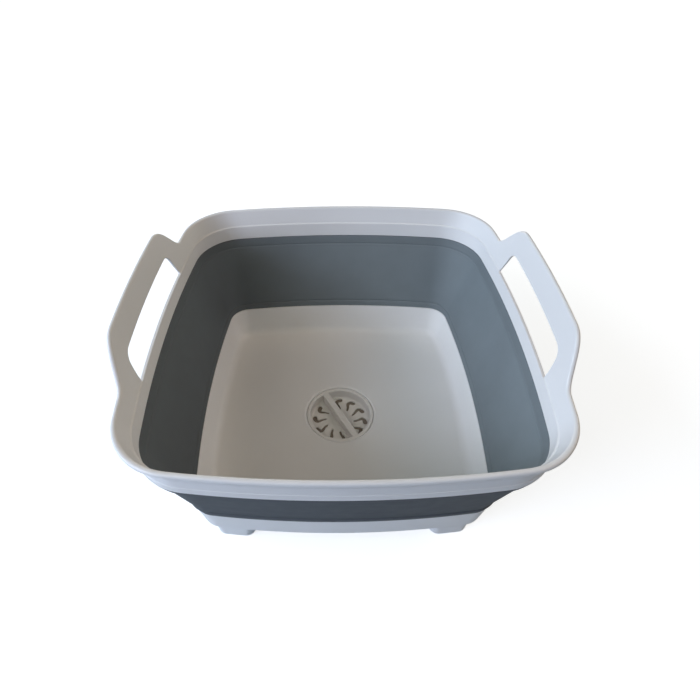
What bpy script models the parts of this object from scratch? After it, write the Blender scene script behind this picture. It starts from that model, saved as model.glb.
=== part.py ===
"""Collapsible wash tub with two carry handles and a strainer drain.

Run it with: blender --background --python part.py

Units are metres. +Z is up, the feet stand on Z = 0, +Y is the back of the tub and the handles
are at -X and +X. The tub is three mouldings bonded into one another, a rim frame, a folding wall
and a base pan, with a lift-out strainer in the floor and a stopper pushed up into the outlet.

Every level of the tub is a smaller copy of one plan outline, with its sides and ends moved in by
the same amount and its corners a little tighter. A profile point is given as (offset, z): how far
inside the rim's outline it lies, and its height.
"""
import math

import bmesh
import bpy
from mathutils import Matrix, Vector

# Plan outline of the rim: bowed sides joined by corner arcs, all tangent
HALF_WIDTH = 0.156
HALF_DEPTH = 0.159
SIDE_BOW_RADIUS = 0.966
END_BOW_RADIUS = 0.866
CORNER_RADIUS = 0.0476
RIM_CORNER_SHRINK = 0.35
BASE_CORNER_RADIUS = 0.0195

# Heights of the bands, stacked up from the ground
FOOT_HEIGHT = 0.0175
FLOOR_THICKNESS = 0.0021
BASE_WALL_HEIGHT = 0.0335
FOLD_WALL_HEIGHT = 0.0776
RIM_HEIGHT = 0.0293

# Lean of each band, from upright, wider towards the top
BASE_DRAFT = math.radians(8.0)
WALL_SLOPE = math.radians(16.5)
BAND_DRAFT = math.radians(4.0)
FLARE_ANGLE = math.radians(14.75)

# Rim frame: rolled lip, flared sheet, ledge, upright band and seam strip
LIP_WIDTH = 0.0032
LIP_HEIGHT = 0.0030
FLARE_THICKNESS = 0.0021
BAND_THICKNESS = 0.0025
LEDGE_DROP = 0.0150
LEDGE_WIDTH = 0.0010
RIM_STRIP_HEIGHT = 0.0068
RIM_STRIP_PROUD = 0.0004
RIM_SEAM_LAP = 0.0023

# Carry handles: the flared sheet rises at both sides, with a finger window in it
HANDLE_RISE = 0.0287
HANDLE_LEAN = math.radians(10.5)
HANDLE_BEND_DROP = 0.0050
HANDLE_HALF_LENGTH = 0.0941
HANDLE_SHOULDER = 0.0424
HANDLE_CREST = 1.7
WINDOW_HALF_BOTTOM = 0.0660
WINDOW_HALF_TOP = 0.0610
WINDOW_SILL_DROP = 0.0160
WINDOW_HEAD_RISE = 0.0074
WINDOW_CORNER_RADIUS = 0.0080

# Folding wall: thick strips at both seams, a thinner panel and a thin fold line at each strip
SEAM_THICKNESS = 0.0034
PANEL_THICKNESS = 0.0022
UPPER_STRIP_HEIGHT = 0.0084
LOWER_STRIP_HEIGHT = 0.0065
FOLD_GROOVE_DEPTH = 0.0006
FOLD_GROOVE_WIDTH = 0.0024
PANEL_STEP_HEIGHT = 0.0010
TONGUE_THICKNESS = 0.0012
TONGUE_LENGTH = 0.0050
BASE_SEAM_LAP = 0.0007
SEAM_GAP = 0.0003

# Base pan
BASE_THICKNESS = 0.0031
FLOOR_FILLET = 0.0080
BOTTOM_FILLET = 0.0100
FOOT_CENTRE_X = 0.0890
FOOT_FRONT_Y = 0.1174
FOOT_TOP_WIDTH = 0.0360
FOOT_BOTTOM_WIDTH = 0.0305
FOOT_BOTTOM_DEPTH = 0.0330
FOOT_CORNER_RADIUS = 0.0080

# Drain well sunk in the floor
RECESS_RADIUS = 0.0337
RECESS_CHAMFER_WIDTH = 0.0020
RECESS_CHAMFER_DEPTH = 0.0008
SEAT_DEPTH = 0.0030
WELL_RADIUS = 0.0312
WELL_DEPTH = 0.0146
WELL_WALL = 0.0020
WELL_FLOOR_THICKNESS = 0.0018
OUTLET_RADIUS = 0.0290

# Strainer: a flanged dish with a grip bar and curved slots
FLANGE_SIDE_CLEARANCE = 0.0008
FLANGE_THICKNESS = 0.0014
CUP_SIDE_CLEARANCE = 0.0004
CUP_WALL = 0.0010
DISH_DEPTH = 0.0107
DISH_THICKNESS = 0.0015
DISH_FILLET = 0.0016
GRIP_WIDTH = 0.0050
GRIP_DROP = 0.0002
GRIP_EDGE_RADIUS = 0.0008
GRIP_ANGLE = math.radians(119.0)
SLOTS_PER_SIDE = 5
SLOT_PITCH = math.radians(31.7)
SLOT_LAG = math.radians(2.5)

# Middle line of one slot from its tail to its head: radius, angle past the tail in degrees, width
SLOT_PATH = (
    (0.0145, 0.0, 0.0017), (0.0175, 3.0, 0.0018), (0.0203, 7.0, 0.0023),
    (0.0228, 8.5, 0.0031), (0.0247, 5.5, 0.0038), (0.0258, -0.5, 0.0040))

# Stopper: a hollow plug with a flange and a pull tab
PLUG_SIDE_CLEARANCE = 0.0003
PLUG_HEIGHT = 0.0026
PLUG_TAPER = 0.0004
PLUG_WALL = 0.0025
PLUG_TOP_THICKNESS = 0.0018
STOPPER_FLANGE_WIDTH = 0.0042
STOPPER_FLANGE_THICKNESS = 0.0022
TAB_LENGTH = 0.0133
TAB_WIDTH = 0.0140
TAB_BEAD_HEIGHT = 0.0010

# Clearance between pieces that touch, and how far a cut runs past what it cuts
GAP = 0.0003
OVERCUT = 0.0010

# Segment counts
CORNER_STEPS = 9
BOW_STEPS = 4
SHOULDER_STEPS = 9
LIP_STEPS = 4
FILLET_STEPS = 5
ROUND_STEPS = 48

# Colours, as linear RGB
WHITE_PLASTIC = (0.66, 0.68, 0.71)
GREY_RUBBER = (0.125, 0.142, 0.162)

# Levels that follow from the stacked heights
FLOOR_Z = FOOT_HEIGHT + FLOOR_THICKNESS
BASE_SEAM_Z = FLOOR_Z + BASE_WALL_HEIGHT
RIM_SEAM_Z = BASE_SEAM_Z + FOLD_WALL_HEIGHT
RIM_TOP_Z = RIM_SEAM_Z + RIM_HEIGHT
LEDGE_Z = RIM_TOP_Z - LEDGE_DROP
OUTER_RIM_SEAM_Z = RIM_SEAM_Z - RIM_SEAM_LAP
OUTER_BASE_SEAM_Z = BASE_SEAM_Z - BASE_SEAM_LAP

# Offsets of the inner face at each change of slope
FLARE_FOOT = LIP_WIDTH + LEDGE_DROP * math.tan(FLARE_ANGLE)
BAND_TOP = FLARE_FOOT + LEDGE_WIDTH
RIM_SEAM_OFFSET = BAND_TOP + (LEDGE_Z - RIM_SEAM_Z) * math.tan(BAND_DRAFT)
BASE_SEAM_OFFSET = RIM_SEAM_OFFSET + FOLD_WALL_HEIGHT * math.tan(WALL_SLOPE)

# Levels of the drain
SEAT_Z = FLOOR_Z - SEAT_DEPTH
WELL_FLOOR_Z = FLOOR_Z - WELL_DEPTH
WELL_BOTTOM_Z = WELL_FLOOR_Z - WELL_FLOOR_THICKNESS
FLANGE_TOP_Z = SEAT_Z + GAP + FLANGE_THICKNESS
DISH_Z = FLANGE_TOP_Z - DISH_DEPTH


def clear_scene():
    """Remove every object, so that the script can be run again in an open file."""
    for item in list(bpy.data.objects):
        bpy.data.objects.remove(item, do_unlink=True)


def finish(name, colour, roughness):
    """Make one piece's own Principled material."""
    material = bpy.data.materials.new(name)
    material.use_nodes = True
    shader = material.node_tree.nodes["Principled BSDF"]
    shader.inputs["Base Color"].default_value = (*colour, 1.0)
    shader.inputs["Roughness"].default_value = roughness
    shader.inputs["Metallic"].default_value = 0.0
    return material


def corner_radius(offset):
    """Give the radius of the corner arcs at an offset."""
    if offset <= RIM_SEAM_OFFSET:
        return CORNER_RADIUS - RIM_CORNER_SHRINK * offset
    if offset >= BASE_SEAM_OFFSET:
        return BASE_CORNER_RADIUS - (offset - BASE_SEAM_OFFSET)
    upper = CORNER_RADIUS - RIM_CORNER_SHRINK * RIM_SEAM_OFFSET
    share = (offset - RIM_SEAM_OFFSET) / (BASE_SEAM_OFFSET - RIM_SEAM_OFFSET)
    return upper + (BASE_CORNER_RADIUS - upper) * share


def corner_centre(offset):
    """Find the centre of the corner arc that is tangent to a side bow and an end bow."""
    side = Vector((HALF_WIDTH - SIDE_BOW_RADIUS, 0.0))
    end = Vector((0.0, HALF_DEPTH - END_BOW_RADIUS))
    side_reach = SIDE_BOW_RADIUS - offset - corner_radius(offset)
    end_reach = END_BOW_RADIUS - offset - corner_radius(offset)
    between = end - side
    span = between.length
    along = (side_reach ** 2 - end_reach ** 2 + span ** 2) / (2.0 * span)
    across = math.sqrt(side_reach ** 2 - along ** 2)
    forward = between / span
    sideways = Vector((forward.y, -forward.x))
    if sideways.x < 0.0:
        sideways = -sideways
    return side + forward * along + sideways * across


def side_turn(offset):
    """Give the outward angle at which a side's bow meets the corner."""
    centre = corner_centre(offset)
    return math.atan2(centre.y, centre.x - (HALF_WIDTH - SIDE_BOW_RADIUS))


def end_turn(offset):
    """Give the outward angle at which the corner meets an end's bow."""
    centre = corner_centre(offset)
    return math.atan2(centre.y - (HALF_DEPTH - END_BOW_RADIUS), centre.x)


SIDE_TURN = side_turn(0.0)
END_TURN = end_turn(0.0)


def outline_point(turn, offset):
    """Give the plan point whose outward normal has the angle turn, offset inwards."""
    sign_x = 1.0 if math.cos(turn) >= 0.0 else -1.0
    sign_y = 1.0 if math.sin(turn) >= 0.0 else -1.0
    folded = math.atan2(abs(math.sin(turn)), abs(math.cos(turn)))
    if folded <= side_turn(offset):
        centre = Vector((HALF_WIDTH - SIDE_BOW_RADIUS, 0.0))
        reach = SIDE_BOW_RADIUS - offset
    elif folded >= end_turn(offset):
        centre = Vector((0.0, HALF_DEPTH - END_BOW_RADIUS))
        reach = END_BOW_RADIUS - offset
    else:
        centre = corner_centre(offset)
        reach = corner_radius(offset)
    x = centre.x + reach * math.cos(folded)
    y = centre.y + reach * math.sin(folded)
    return Vector((sign_x * x, sign_y * y))


def plain_side_turns():
    """List the turns of the sections along half a side that carries no handle."""
    return [SIDE_TURN * step / BOW_STEPS for step in range(BOW_STEPS)]


def handle_side_turns():
    """List the turns along half a side, close together where the handle's shoulder rises."""
    start = HANDLE_HALF_LENGTH - HANDLE_SHOULDER
    along = [start + HANDLE_SHOULDER * step / SHOULDER_STEPS for step in range(SHOULDER_STEPS + 1)]
    return [0.0, start / 2.0 / SIDE_BOW_RADIUS] + [math.asin(y / SIDE_BOW_RADIUS) for y in along]


def outline_turns(side):
    """Carry a half side's turns on round the corner and the end, and mirror them all round."""
    corner_sweep = END_TURN - SIDE_TURN
    end_sweep = math.pi / 2.0 - END_TURN
    corner = [SIDE_TURN + corner_sweep * step / CORNER_STEPS for step in range(CORNER_STEPS + 1)]
    end = [END_TURN + end_sweep * step / BOW_STEPS for step in range(1, BOW_STEPS + 1)]
    first = side + corner + end
    half = first + [math.pi - turn for turn in reversed(first[:-1])]
    return half + [turn + math.pi for turn in half[1:-1]]


def inner_offset(z):
    """Give the offset of the tub's inner face at a height."""
    if z >= LEDGE_Z:
        return LIP_WIDTH + (RIM_TOP_Z - z) * math.tan(FLARE_ANGLE)
    if z >= RIM_SEAM_Z:
        return BAND_TOP + (LEDGE_Z - z) * math.tan(BAND_DRAFT)
    if z >= BASE_SEAM_Z:
        return RIM_SEAM_OFFSET + (RIM_SEAM_Z - z) * math.tan(WALL_SLOPE)
    return BASE_SEAM_OFFSET + (BASE_SEAM_Z - z) * math.tan(BASE_DRAFT)


def wall_inner(z):
    """Give the folding wall's inner offset, with its slope carried on past both seams."""
    return RIM_SEAM_OFFSET + (RIM_SEAM_Z - z) * math.tan(WALL_SLOPE)


def tongue_faces(z):
    """Give the outer and inner offsets of a seam tongue, which runs up the middle of the wall."""
    middle = wall_inner(z) - SEAM_THICKNESS / 2.0
    return middle - TONGUE_THICKNESS / 2.0, middle + TONGUE_THICKNESS / 2.0


def handle_rise(turn):
    """Give how far the rim's edge rises above its own level, which is the handle's outline."""
    if abs(math.cos(turn)) < math.cos(SIDE_TURN):
        return 0.0
    distance = SIDE_BOW_RADIUS * abs(math.sin(turn))
    share = (HANDLE_HALF_LENGTH - distance) / HANDLE_SHOULDER
    share = min(max(share, 0.0), 1.0)
    eased = share * share * (3.0 - 2.0 * share)
    return HANDLE_RISE * (1.0 - (1.0 - eased) ** HANDLE_CREST)


def lip_profile():
    """Draw the rolled lip from its inner face, over the top, to its outer lower edge."""
    radius = LIP_WIDTH / 2.0
    points = []
    for step in range(LIP_STEPS + 1):
        angle = math.pi * step / LIP_STEPS
        z = RIM_TOP_Z - radius + radius * math.sin(angle)
        points.append((radius + radius * math.cos(angle), z))
    points.append((0.0, RIM_TOP_Z - LIP_HEIGHT))
    return points


def rim_profile(turn):
    """Draw the rim frame's section, with its lip lifted up and outwards by the handle."""
    rise = handle_rise(turn)
    lifted = [(offset - rise * math.tan(HANDLE_LEAN), z + rise) for offset, z in lip_profile()]
    bend_z = RIM_TOP_Z - HANDLE_BEND_DROP
    neck = lifted[-1][0] + RIM_STRIP_PROUD
    strip_top = OUTER_RIM_SEAM_Z + RIM_STRIP_HEIGHT
    strip_face = wall_inner(OUTER_RIM_SEAM_Z) - SEAM_THICKNESS
    band_face = inner_offset(strip_top) - BAND_THICKNESS
    tip_z = RIM_SEAM_Z - TONGUE_LENGTH
    points = [(inner_offset(RIM_SEAM_Z), RIM_SEAM_Z), (BAND_TOP, LEDGE_Z - LEDGE_WIDTH)]
    points.append((FLARE_FOOT, LEDGE_Z))
    points.append((inner_offset(bend_z), bend_z))
    points += lifted
    points.append((neck, lifted[-1][1] - RIM_STRIP_PROUD))
    points.append((inner_offset(bend_z) - FLARE_THICKNESS, bend_z))
    points.append((BAND_TOP - BAND_THICKNESS, LEDGE_Z))
    points.append((band_face, strip_top))
    points.append((band_face - RIM_STRIP_PROUD, strip_top - RIM_STRIP_PROUD))
    points.append((strip_face, OUTER_RIM_SEAM_Z))
    points.append((tongue_faces(OUTER_RIM_SEAM_Z)[0], OUTER_RIM_SEAM_Z))
    points.append((tongue_faces(tip_z)[0], tip_z))
    points.append((tongue_faces(tip_z)[1], tip_z))
    points.append((tongue_faces(RIM_SEAM_Z)[1], RIM_SEAM_Z))
    return points


def wall_profile():
    """Draw the folding wall's section, with a groove at each end for a seam tongue."""
    half_groove = FOLD_GROOVE_WIDTH / 2.0
    half_step = PANEL_STEP_HEIGHT / 2.0
    recess = SEAM_THICKNESS - PANEL_THICKNESS
    upper_fold = RIM_SEAM_Z - UPPER_STRIP_HEIGHT
    lower_fold = BASE_SEAM_Z + LOWER_STRIP_HEIGHT
    top_z = RIM_SEAM_Z - SEAM_GAP
    bottom_z = BASE_SEAM_Z + SEAM_GAP
    outer_top_z = OUTER_RIM_SEAM_Z - SEAM_GAP
    outer_bottom_z = OUTER_BASE_SEAM_Z + SEAM_GAP
    upper_groove_z = RIM_SEAM_Z - TONGUE_LENGTH - SEAM_GAP
    lower_groove_z = BASE_SEAM_Z + TONGUE_LENGTH + SEAM_GAP

    def outer(z):
        return wall_inner(z) - SEAM_THICKNESS

    points = [(wall_inner(top_z), top_z)]
    for fold in (upper_fold, lower_fold):
        points.append((wall_inner(fold + half_groove), fold + half_groove))
        points.append((wall_inner(fold) - FOLD_GROOVE_DEPTH, fold))
        points.append((wall_inner(fold - half_groove), fold - half_groove))
    points.append((wall_inner(bottom_z), bottom_z))
    points.append((tongue_faces(bottom_z)[1] + SEAM_GAP, bottom_z))
    points.append((tongue_faces(lower_groove_z)[1] + SEAM_GAP, lower_groove_z))
    points.append((tongue_faces(lower_groove_z)[0] - SEAM_GAP, lower_groove_z))
    points.append((tongue_faces(outer_bottom_z)[0] - SEAM_GAP, outer_bottom_z))
    points.append((outer(outer_bottom_z), outer_bottom_z))
    points.append((outer(lower_fold - half_step), lower_fold - half_step))
    points.append((outer(lower_fold + half_step) + recess, lower_fold + half_step))
    points.append((outer(upper_fold - half_step) + recess, upper_fold - half_step))
    points.append((outer(upper_fold + half_step), upper_fold + half_step))
    points.append((outer(outer_top_z), outer_top_z))
    points.append((tongue_faces(outer_top_z)[0] - SEAM_GAP, outer_top_z))
    points.append((tongue_faces(upper_groove_z)[0] - SEAM_GAP, upper_groove_z))
    points.append((tongue_faces(upper_groove_z)[1] + SEAM_GAP, upper_groove_z))
    points.append((tongue_faces(top_z)[1] + SEAM_GAP, top_z))
    return points


def fillet(wall_offset, floor_z, radius):
    """Round the corner between a drafted wall and a floor, from the wall down to the floor."""
    limit = corner_radius(wall_offset) - OVERCUT
    radius = min(radius, limit)
    centre_offset = wall_offset + radius / math.cos(BASE_DRAFT) - radius * math.tan(BASE_DRAFT)
    points = []
    for step in range(FILLET_STEPS + 1):
        angle = BASE_DRAFT + (math.pi / 2.0 - BASE_DRAFT) * step / FILLET_STEPS
        offset = centre_offset - radius * math.cos(angle)
        points.append((offset, floor_z + radius - radius * math.sin(angle)))
    return points


def pan_profile():
    """Draw the base pan's section from the middle of its underside, over the top, to its floor."""
    outer_floor = inner_offset(FOOT_HEIGHT) - BASE_THICKNESS
    inner_floor = inner_offset(FLOOR_Z)
    tip_z = BASE_SEAM_Z + TONGUE_LENGTH
    points = list(reversed(fillet(outer_floor, FOOT_HEIGHT, BOTTOM_FILLET)))
    points.append((inner_offset(OUTER_BASE_SEAM_Z) - BASE_THICKNESS, OUTER_BASE_SEAM_Z))
    points.append((tongue_faces(OUTER_BASE_SEAM_Z)[0], OUTER_BASE_SEAM_Z))
    points.append((tongue_faces(tip_z)[0], tip_z))
    points.append((tongue_faces(tip_z)[1], tip_z))
    points.append((tongue_faces(BASE_SEAM_Z)[1], BASE_SEAM_Z))
    points.append((BASE_SEAM_OFFSET, BASE_SEAM_Z))
    points += fillet(inner_floor, FLOOR_Z, FLOOR_FILLET)
    return points


def swept_mesh(turns, sections, closed):
    """Wrap a grid round the outline, with one column for each turn and one row for each point.

    sections holds one profile for each turn. A closed section joins its last point to its first,
    and an open one has both end rings filled.
    """
    columns = len(turns)
    rows = len(sections[0]) if closed else len(sections[0]) - 1
    mesh = bmesh.new()
    grid = bmesh.ops.create_grid(mesh, x_segments=columns, y_segments=rows, size=1.0)["verts"]
    for vert in grid:
        column = round((vert.co.x + 1.0) / 2.0 * columns) % columns
        row = round((vert.co.y + 1.0) / 2.0 * rows) % len(sections[0])
        offset, z = sections[column][row]
        plan = outline_point(turns[column], offset)
        vert.co = (plan.x, plan.y, z)
    bmesh.ops.remove_doubles(mesh, verts=mesh.verts[:], dist=GAP / 100.0)
    if not closed:
        rims = [edge for edge in mesh.edges if edge.is_boundary]
        bmesh.ops.holes_fill(mesh, edges=rims)
    return mesh


def turned_mesh(profile, steps):
    """Spin a closed profile of (radius, z) points once round the Z axis."""
    mesh = bmesh.new()
    verts = [mesh.verts.new((radius, 0.0, z)) for radius, z in profile]
    edges = [mesh.edges.new((verts[i - 1], verts[i])) for i in range(len(verts))]
    on_axis = [edge for edge in edges if all(abs(vert.co.x) < GAP / 100.0 for vert in edge.verts)]
    bmesh.ops.delete(mesh, geom=on_axis, context="EDGES")
    bmesh.ops.spin(
        mesh, geom=mesh.verts[:] + mesh.edges[:], cent=(0.0, 0.0, 0.0), axis=(0.0, 0.0, 1.0),
        angle=2.0 * math.pi, steps=steps, use_merge=True)
    bmesh.ops.remove_doubles(mesh, verts=mesh.verts[:], dist=GAP / 100.0)
    return mesh


def prism_mesh(outlines, low, high):
    """Extrude flat outlines of (x, y) points from one height to another."""
    mesh = bmesh.new()
    for outline in outlines:
        verts = [mesh.verts.new((x, y, low)) for x, y in outline]
        face = mesh.faces.new(verts)
        lifted = bmesh.ops.extrude_face_region(mesh, geom=[face], use_keep_orig=True)["geom"]
        moved = [item for item in lifted if isinstance(item, bmesh.types.BMVert)]
        bmesh.ops.translate(mesh, verts=moved, vec=(0.0, 0.0, high - low))
    return mesh


def add_object(name, mesh, material=None, smooth_angle=math.radians(35.0)):
    """Close a bmesh into a named object with outward faces."""
    bmesh.ops.recalc_face_normals(mesh, faces=mesh.faces[:])
    data = bpy.data.meshes.new(name)
    mesh.to_mesh(data)
    mesh.free()
    if material:
        data.materials.append(material)
    data.shade_smooth()
    data.set_sharp_from_angle(angle=smooth_angle)
    item = bpy.data.objects.new(name, data)
    bpy.context.scene.collection.objects.link(item)
    return item


def use_tool(target, tool, operation):
    """Cut or join a guide object into a target, and keep the guide as a hidden wire."""
    tool.hide_render = True
    tool.display_type = "WIRE"
    change = target.modifiers.new(tool.name, "BOOLEAN")
    change.operation = operation
    change.solver = "EXACT"
    change.object = tool


def window_cutter():
    """Make the bar that opens the finger windows in both handles."""
    sill = RIM_TOP_Z - WINDOW_SILL_DROP
    head = RIM_TOP_Z + WINDOW_HEAD_RISE
    reach = HALF_WIDTH + HANDLE_RISE
    mesh = bmesh.new()
    corners = [
        (-WINDOW_HALF_BOTTOM, sill), (WINDOW_HALF_BOTTOM, sill),
        (WINDOW_HALF_TOP, head), (-WINDOW_HALF_TOP, head)]
    verts = [mesh.verts.new((-reach, y, z)) for y, z in corners]
    mesh.faces.new(verts)
    bmesh.ops.bevel(
        mesh, geom=verts[2:], offset=WINDOW_CORNER_RADIUS, offset_type="OFFSET", segments=5,
        profile=0.5, affect="VERTICES", material=-1)
    lifted = bmesh.ops.extrude_face_region(mesh, geom=mesh.faces[:], use_keep_orig=True)["geom"]
    moved = [item for item in lifted if isinstance(item, bmesh.types.BMVert)]
    bmesh.ops.translate(mesh, verts=moved, vec=(2.0 * reach, 0.0, 0.0))
    return add_object("window_cutter", mesh)


def rim_frame(material):
    """Make the rim frame with its two carry handles."""
    turns = outline_turns(handle_side_turns())
    sections = [rim_profile(turn) for turn in turns]
    frame = add_object("rim_frame", swept_mesh(turns, sections, closed=True), material)
    use_tool(frame, window_cutter(), "DIFFERENCE")
    return frame


def fold_wall(material):
    """Make the soft folding wall."""
    turns = outline_turns(plain_side_turns())
    sections = [wall_profile()] * len(turns)
    return add_object("fold_wall", swept_mesh(turns, sections, closed=True), material)


def foot_mesh():
    """Make one foot about the Z axis, tapering down to the ground, with round upright edges."""
    mesh = bmesh.new()
    for vert in bmesh.ops.create_cube(mesh, size=1.0)["verts"]:
        if vert.co.z > 0.0:
            vert.co = (vert.co.x * FOOT_TOP_WIDTH, vert.co.y * FOOT_TOP_WIDTH, FLOOR_Z - GAP)
        else:
            vert.co = (vert.co.x * FOOT_BOTTOM_WIDTH, vert.co.y * FOOT_BOTTOM_DEPTH, 0.0)
    upright = [
        edge for edge in mesh.edges
        if abs(edge.verts[0].co.z - edge.verts[1].co.z) > FOOT_HEIGHT / 2.0]
    bmesh.ops.bevel(
        mesh, geom=upright, offset=FOOT_CORNER_RADIUS, offset_type="OFFSET", segments=4,
        profile=0.5, affect="EDGES", material=-1)
    return mesh


def place_foot(name, side, end):
    """Put a foot under one corner, turned to follow the bow of the end it stands under."""
    foot = add_object(name, foot_mesh())
    foot.location = (side * FOOT_CENTRE_X, end * (FOOT_FRONT_Y - FOOT_TOP_WIDTH / 2.0), 0.0)
    foot.rotation_euler.z = -side * end * math.asin(FOOT_CENTRE_X / END_BOW_RADIUS)
    return foot


def well_guide():
    """Make the solid outside of the drain well."""
    collar = RECESS_RADIUS + WELL_WALL
    body = WELL_RADIUS + WELL_WALL
    top_z = FOOT_HEIGHT + FLOOR_THICKNESS / 2.0
    step_z = SEAT_Z - WELL_WALL
    profile = [
        (0.0, top_z), (collar, top_z), (collar, step_z), (body, step_z - (collar - body)),
        (body, WELL_BOTTOM_Z + OVERCUT), (body - OVERCUT, WELL_BOTTOM_Z), (0.0, WELL_BOTTOM_Z)]
    return add_object("well_guide", turned_mesh(profile, ROUND_STEPS))


def well_cutter():
    """Make the hollow of the drain well, with its seat for the strainer and its outlet."""
    mouth = RECESS_RADIUS + RECESS_CHAMFER_WIDTH
    profile = [
        (0.0, FLOOR_Z + OVERCUT), (mouth, FLOOR_Z + OVERCUT), (mouth, FLOOR_Z),
        (RECESS_RADIUS, FLOOR_Z - RECESS_CHAMFER_DEPTH), (RECESS_RADIUS, SEAT_Z), (WELL_RADIUS, SEAT_Z),
        (WELL_RADIUS, WELL_FLOOR_Z), (OUTLET_RADIUS, WELL_FLOOR_Z), (OUTLET_RADIUS, WELL_BOTTOM_Z - OVERCUT),
        (0.0, WELL_BOTTOM_Z - OVERCUT)]
    return add_object("well_cutter", turned_mesh(profile, ROUND_STEPS))


def base_pan(material):
    """Make the base pan with its feet and drain well."""
    turns = outline_turns(plain_side_turns())
    sections = [pan_profile()] * len(turns)
    pan = add_object("base_pan", swept_mesh(turns, sections, closed=False), material)
    for side in (-1.0, 1.0):
        for end in (-1.0, 1.0):
            use_tool(pan, place_foot(f"foot_guide_{side:.0f}_{end:.0f}", side, end), "UNION")
    use_tool(pan, well_guide(), "UNION")
    use_tool(pan, well_cutter(), "DIFFERENCE")
    return pan


def dish_profile():
    """Draw half of the strainer's flanged dish, from the middle of its floor round to the axis."""
    cup = WELL_RADIUS - CUP_SIDE_CLEARANCE
    inside = cup - CUP_WALL
    flange = RECESS_RADIUS - FLANGE_SIDE_CLEARANCE
    flange_bottom = FLANGE_TOP_Z - FLANGE_THICKNESS
    underside = DISH_Z - DISH_THICKNESS
    points = [(0.0, DISH_Z)]
    for step in range(FILLET_STEPS + 1):
        angle = math.pi / 2.0 * step / FILLET_STEPS
        radius = inside - DISH_FILLET + DISH_FILLET * math.sin(angle)
        points.append((radius, DISH_Z + DISH_FILLET * (1.0 - math.cos(angle))))
    points += [(inside, FLANGE_TOP_Z), (flange, FLANGE_TOP_Z), (flange, flange_bottom), (cup, flange_bottom)]
    points += [(cup, underside + DISH_FILLET), (cup - DISH_FILLET, underside), (0.0, underside)]
    return points


def grip_guide():
    """Make the straight grip bar across the dish, with its top edges rounded."""
    half_length = WELL_RADIUS - CUP_SIDE_CLEARANCE - CUP_WALL / 2.0
    low = DISH_Z - DISH_THICKNESS / 2.0
    high = FLANGE_TOP_Z - GRIP_DROP
    corners = [
        (-half_length, -GRIP_WIDTH / 2.0), (half_length, -GRIP_WIDTH / 2.0),
        (half_length, GRIP_WIDTH / 2.0), (-half_length, GRIP_WIDTH / 2.0)]
    box = prism_mesh([corners], low, high)
    top_edges = [
        edge for edge in box.edges
        if all(vert.co.z > high - GAP for vert in edge.verts)
        and abs(edge.verts[0].co.x - edge.verts[1].co.x) > half_length]
    bmesh.ops.bevel(
        box, geom=top_edges, offset=GRIP_EDGE_RADIUS, offset_type="OFFSET", segments=3,
        profile=0.5, affect="EDGES", material=-1)
    turn = Matrix.Rotation(GRIP_ANGLE, 3, "Z")
    bmesh.ops.rotate(box, verts=box.verts[:], cent=(0.0, 0.0, 0.0), matrix=turn)
    return add_object("grip_guide", box)


def slot_outline(start):
    """Draw one slot, a thin tail that bends back clockwise into a wide round head."""
    middle = []
    for radius, degrees, width in SLOT_PATH:
        angle = start + math.radians(degrees)
        middle.append(Vector((radius * math.cos(angle), radius * math.sin(angle))))
    left = []
    right = []
    last = len(middle) - 1
    for index, point in enumerate(middle):
        forward = (middle[min(index + 1, last)] - middle[max(index - 1, 0)]).normalized()
        sideways = Vector((-forward.y, forward.x)) * SLOT_PATH[index][2] / 2.0
        left.append(point + sideways)
        right.append(point - sideways)
    head = (middle[-1] - middle[-2]).normalized() * SLOT_PATH[-1][2] / 2.0
    tail = (middle[0] - middle[1]).normalized() * SLOT_PATH[0][2] / 2.0
    diagonal = math.sqrt(0.5)
    head_points = [
        middle[-1] + (left[-1] - middle[-1] + head) * diagonal, middle[-1] + head,
        middle[-1] + (right[-1] - middle[-1] + head) * diagonal]
    return left + head_points + list(reversed(right)) + [middle[0] + tail]


def slot_cutter():
    """Make the cutter for all the slots, in two fans beside the grip bar."""
    outlines = []
    for side in (-1.0, 1.0):
        for index in range(SLOTS_PER_SIDE):
            away = (index - (SLOTS_PER_SIDE - 1) / 2.0) * SLOT_PITCH
            outlines.append(slot_outline(GRIP_ANGLE + side * math.pi / 2.0 + away - SLOT_LAG))
    mesh = prism_mesh(outlines, DISH_Z - DISH_THICKNESS - OVERCUT, DISH_Z + OVERCUT)
    return add_object("slot_cutter", mesh)


def strainer(material):
    """Make the lift-out strainer."""
    dish = add_object("strainer", turned_mesh(dish_profile(), ROUND_STEPS), material)
    use_tool(dish, slot_cutter(), "DIFFERENCE")
    use_tool(dish, grip_guide(), "UNION")
    return dish


def tab_guide():
    """Make the stopper's pull tab, a round-ended strip with a raised bead near its end."""
    flange_radius = OUTLET_RADIUS + STOPPER_FLANGE_WIDTH
    top_z = WELL_BOTTOM_Z - GAP
    low_z = top_z - STOPPER_FLANGE_THICKNESS
    end = flange_radius + TAB_LENGTH - TAB_WIDTH / 2.0
    outline = [(OUTLET_RADIUS, TAB_WIDTH / 2.0), (OUTLET_RADIUS, -TAB_WIDTH / 2.0)]
    for step in range(FILLET_STEPS * 2 + 1):
        angle = -math.pi / 2.0 + math.pi * step / (FILLET_STEPS * 2)
        outline.append((end + TAB_WIDTH / 2.0 * math.cos(angle), TAB_WIDTH / 2.0 * math.sin(angle)))
    return add_object("tab_guide", prism_mesh([outline], low_z, top_z))


def bead_guide():
    """Make the raised bead across the pull tab, clear of the well's wall."""
    top_z = WELL_BOTTOM_Z - GAP
    width = TAB_BEAD_HEIGHT * 2.0
    near = WELL_RADIUS + WELL_WALL + width
    far = near + width
    half = TAB_WIDTH / 4.0
    outline = [(near, -half), (far, -half), (far, half), (near, half)]
    box = prism_mesh([outline], top_z - TAB_BEAD_HEIGHT, top_z + TAB_BEAD_HEIGHT)
    return add_object("bead_guide", box)


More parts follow.
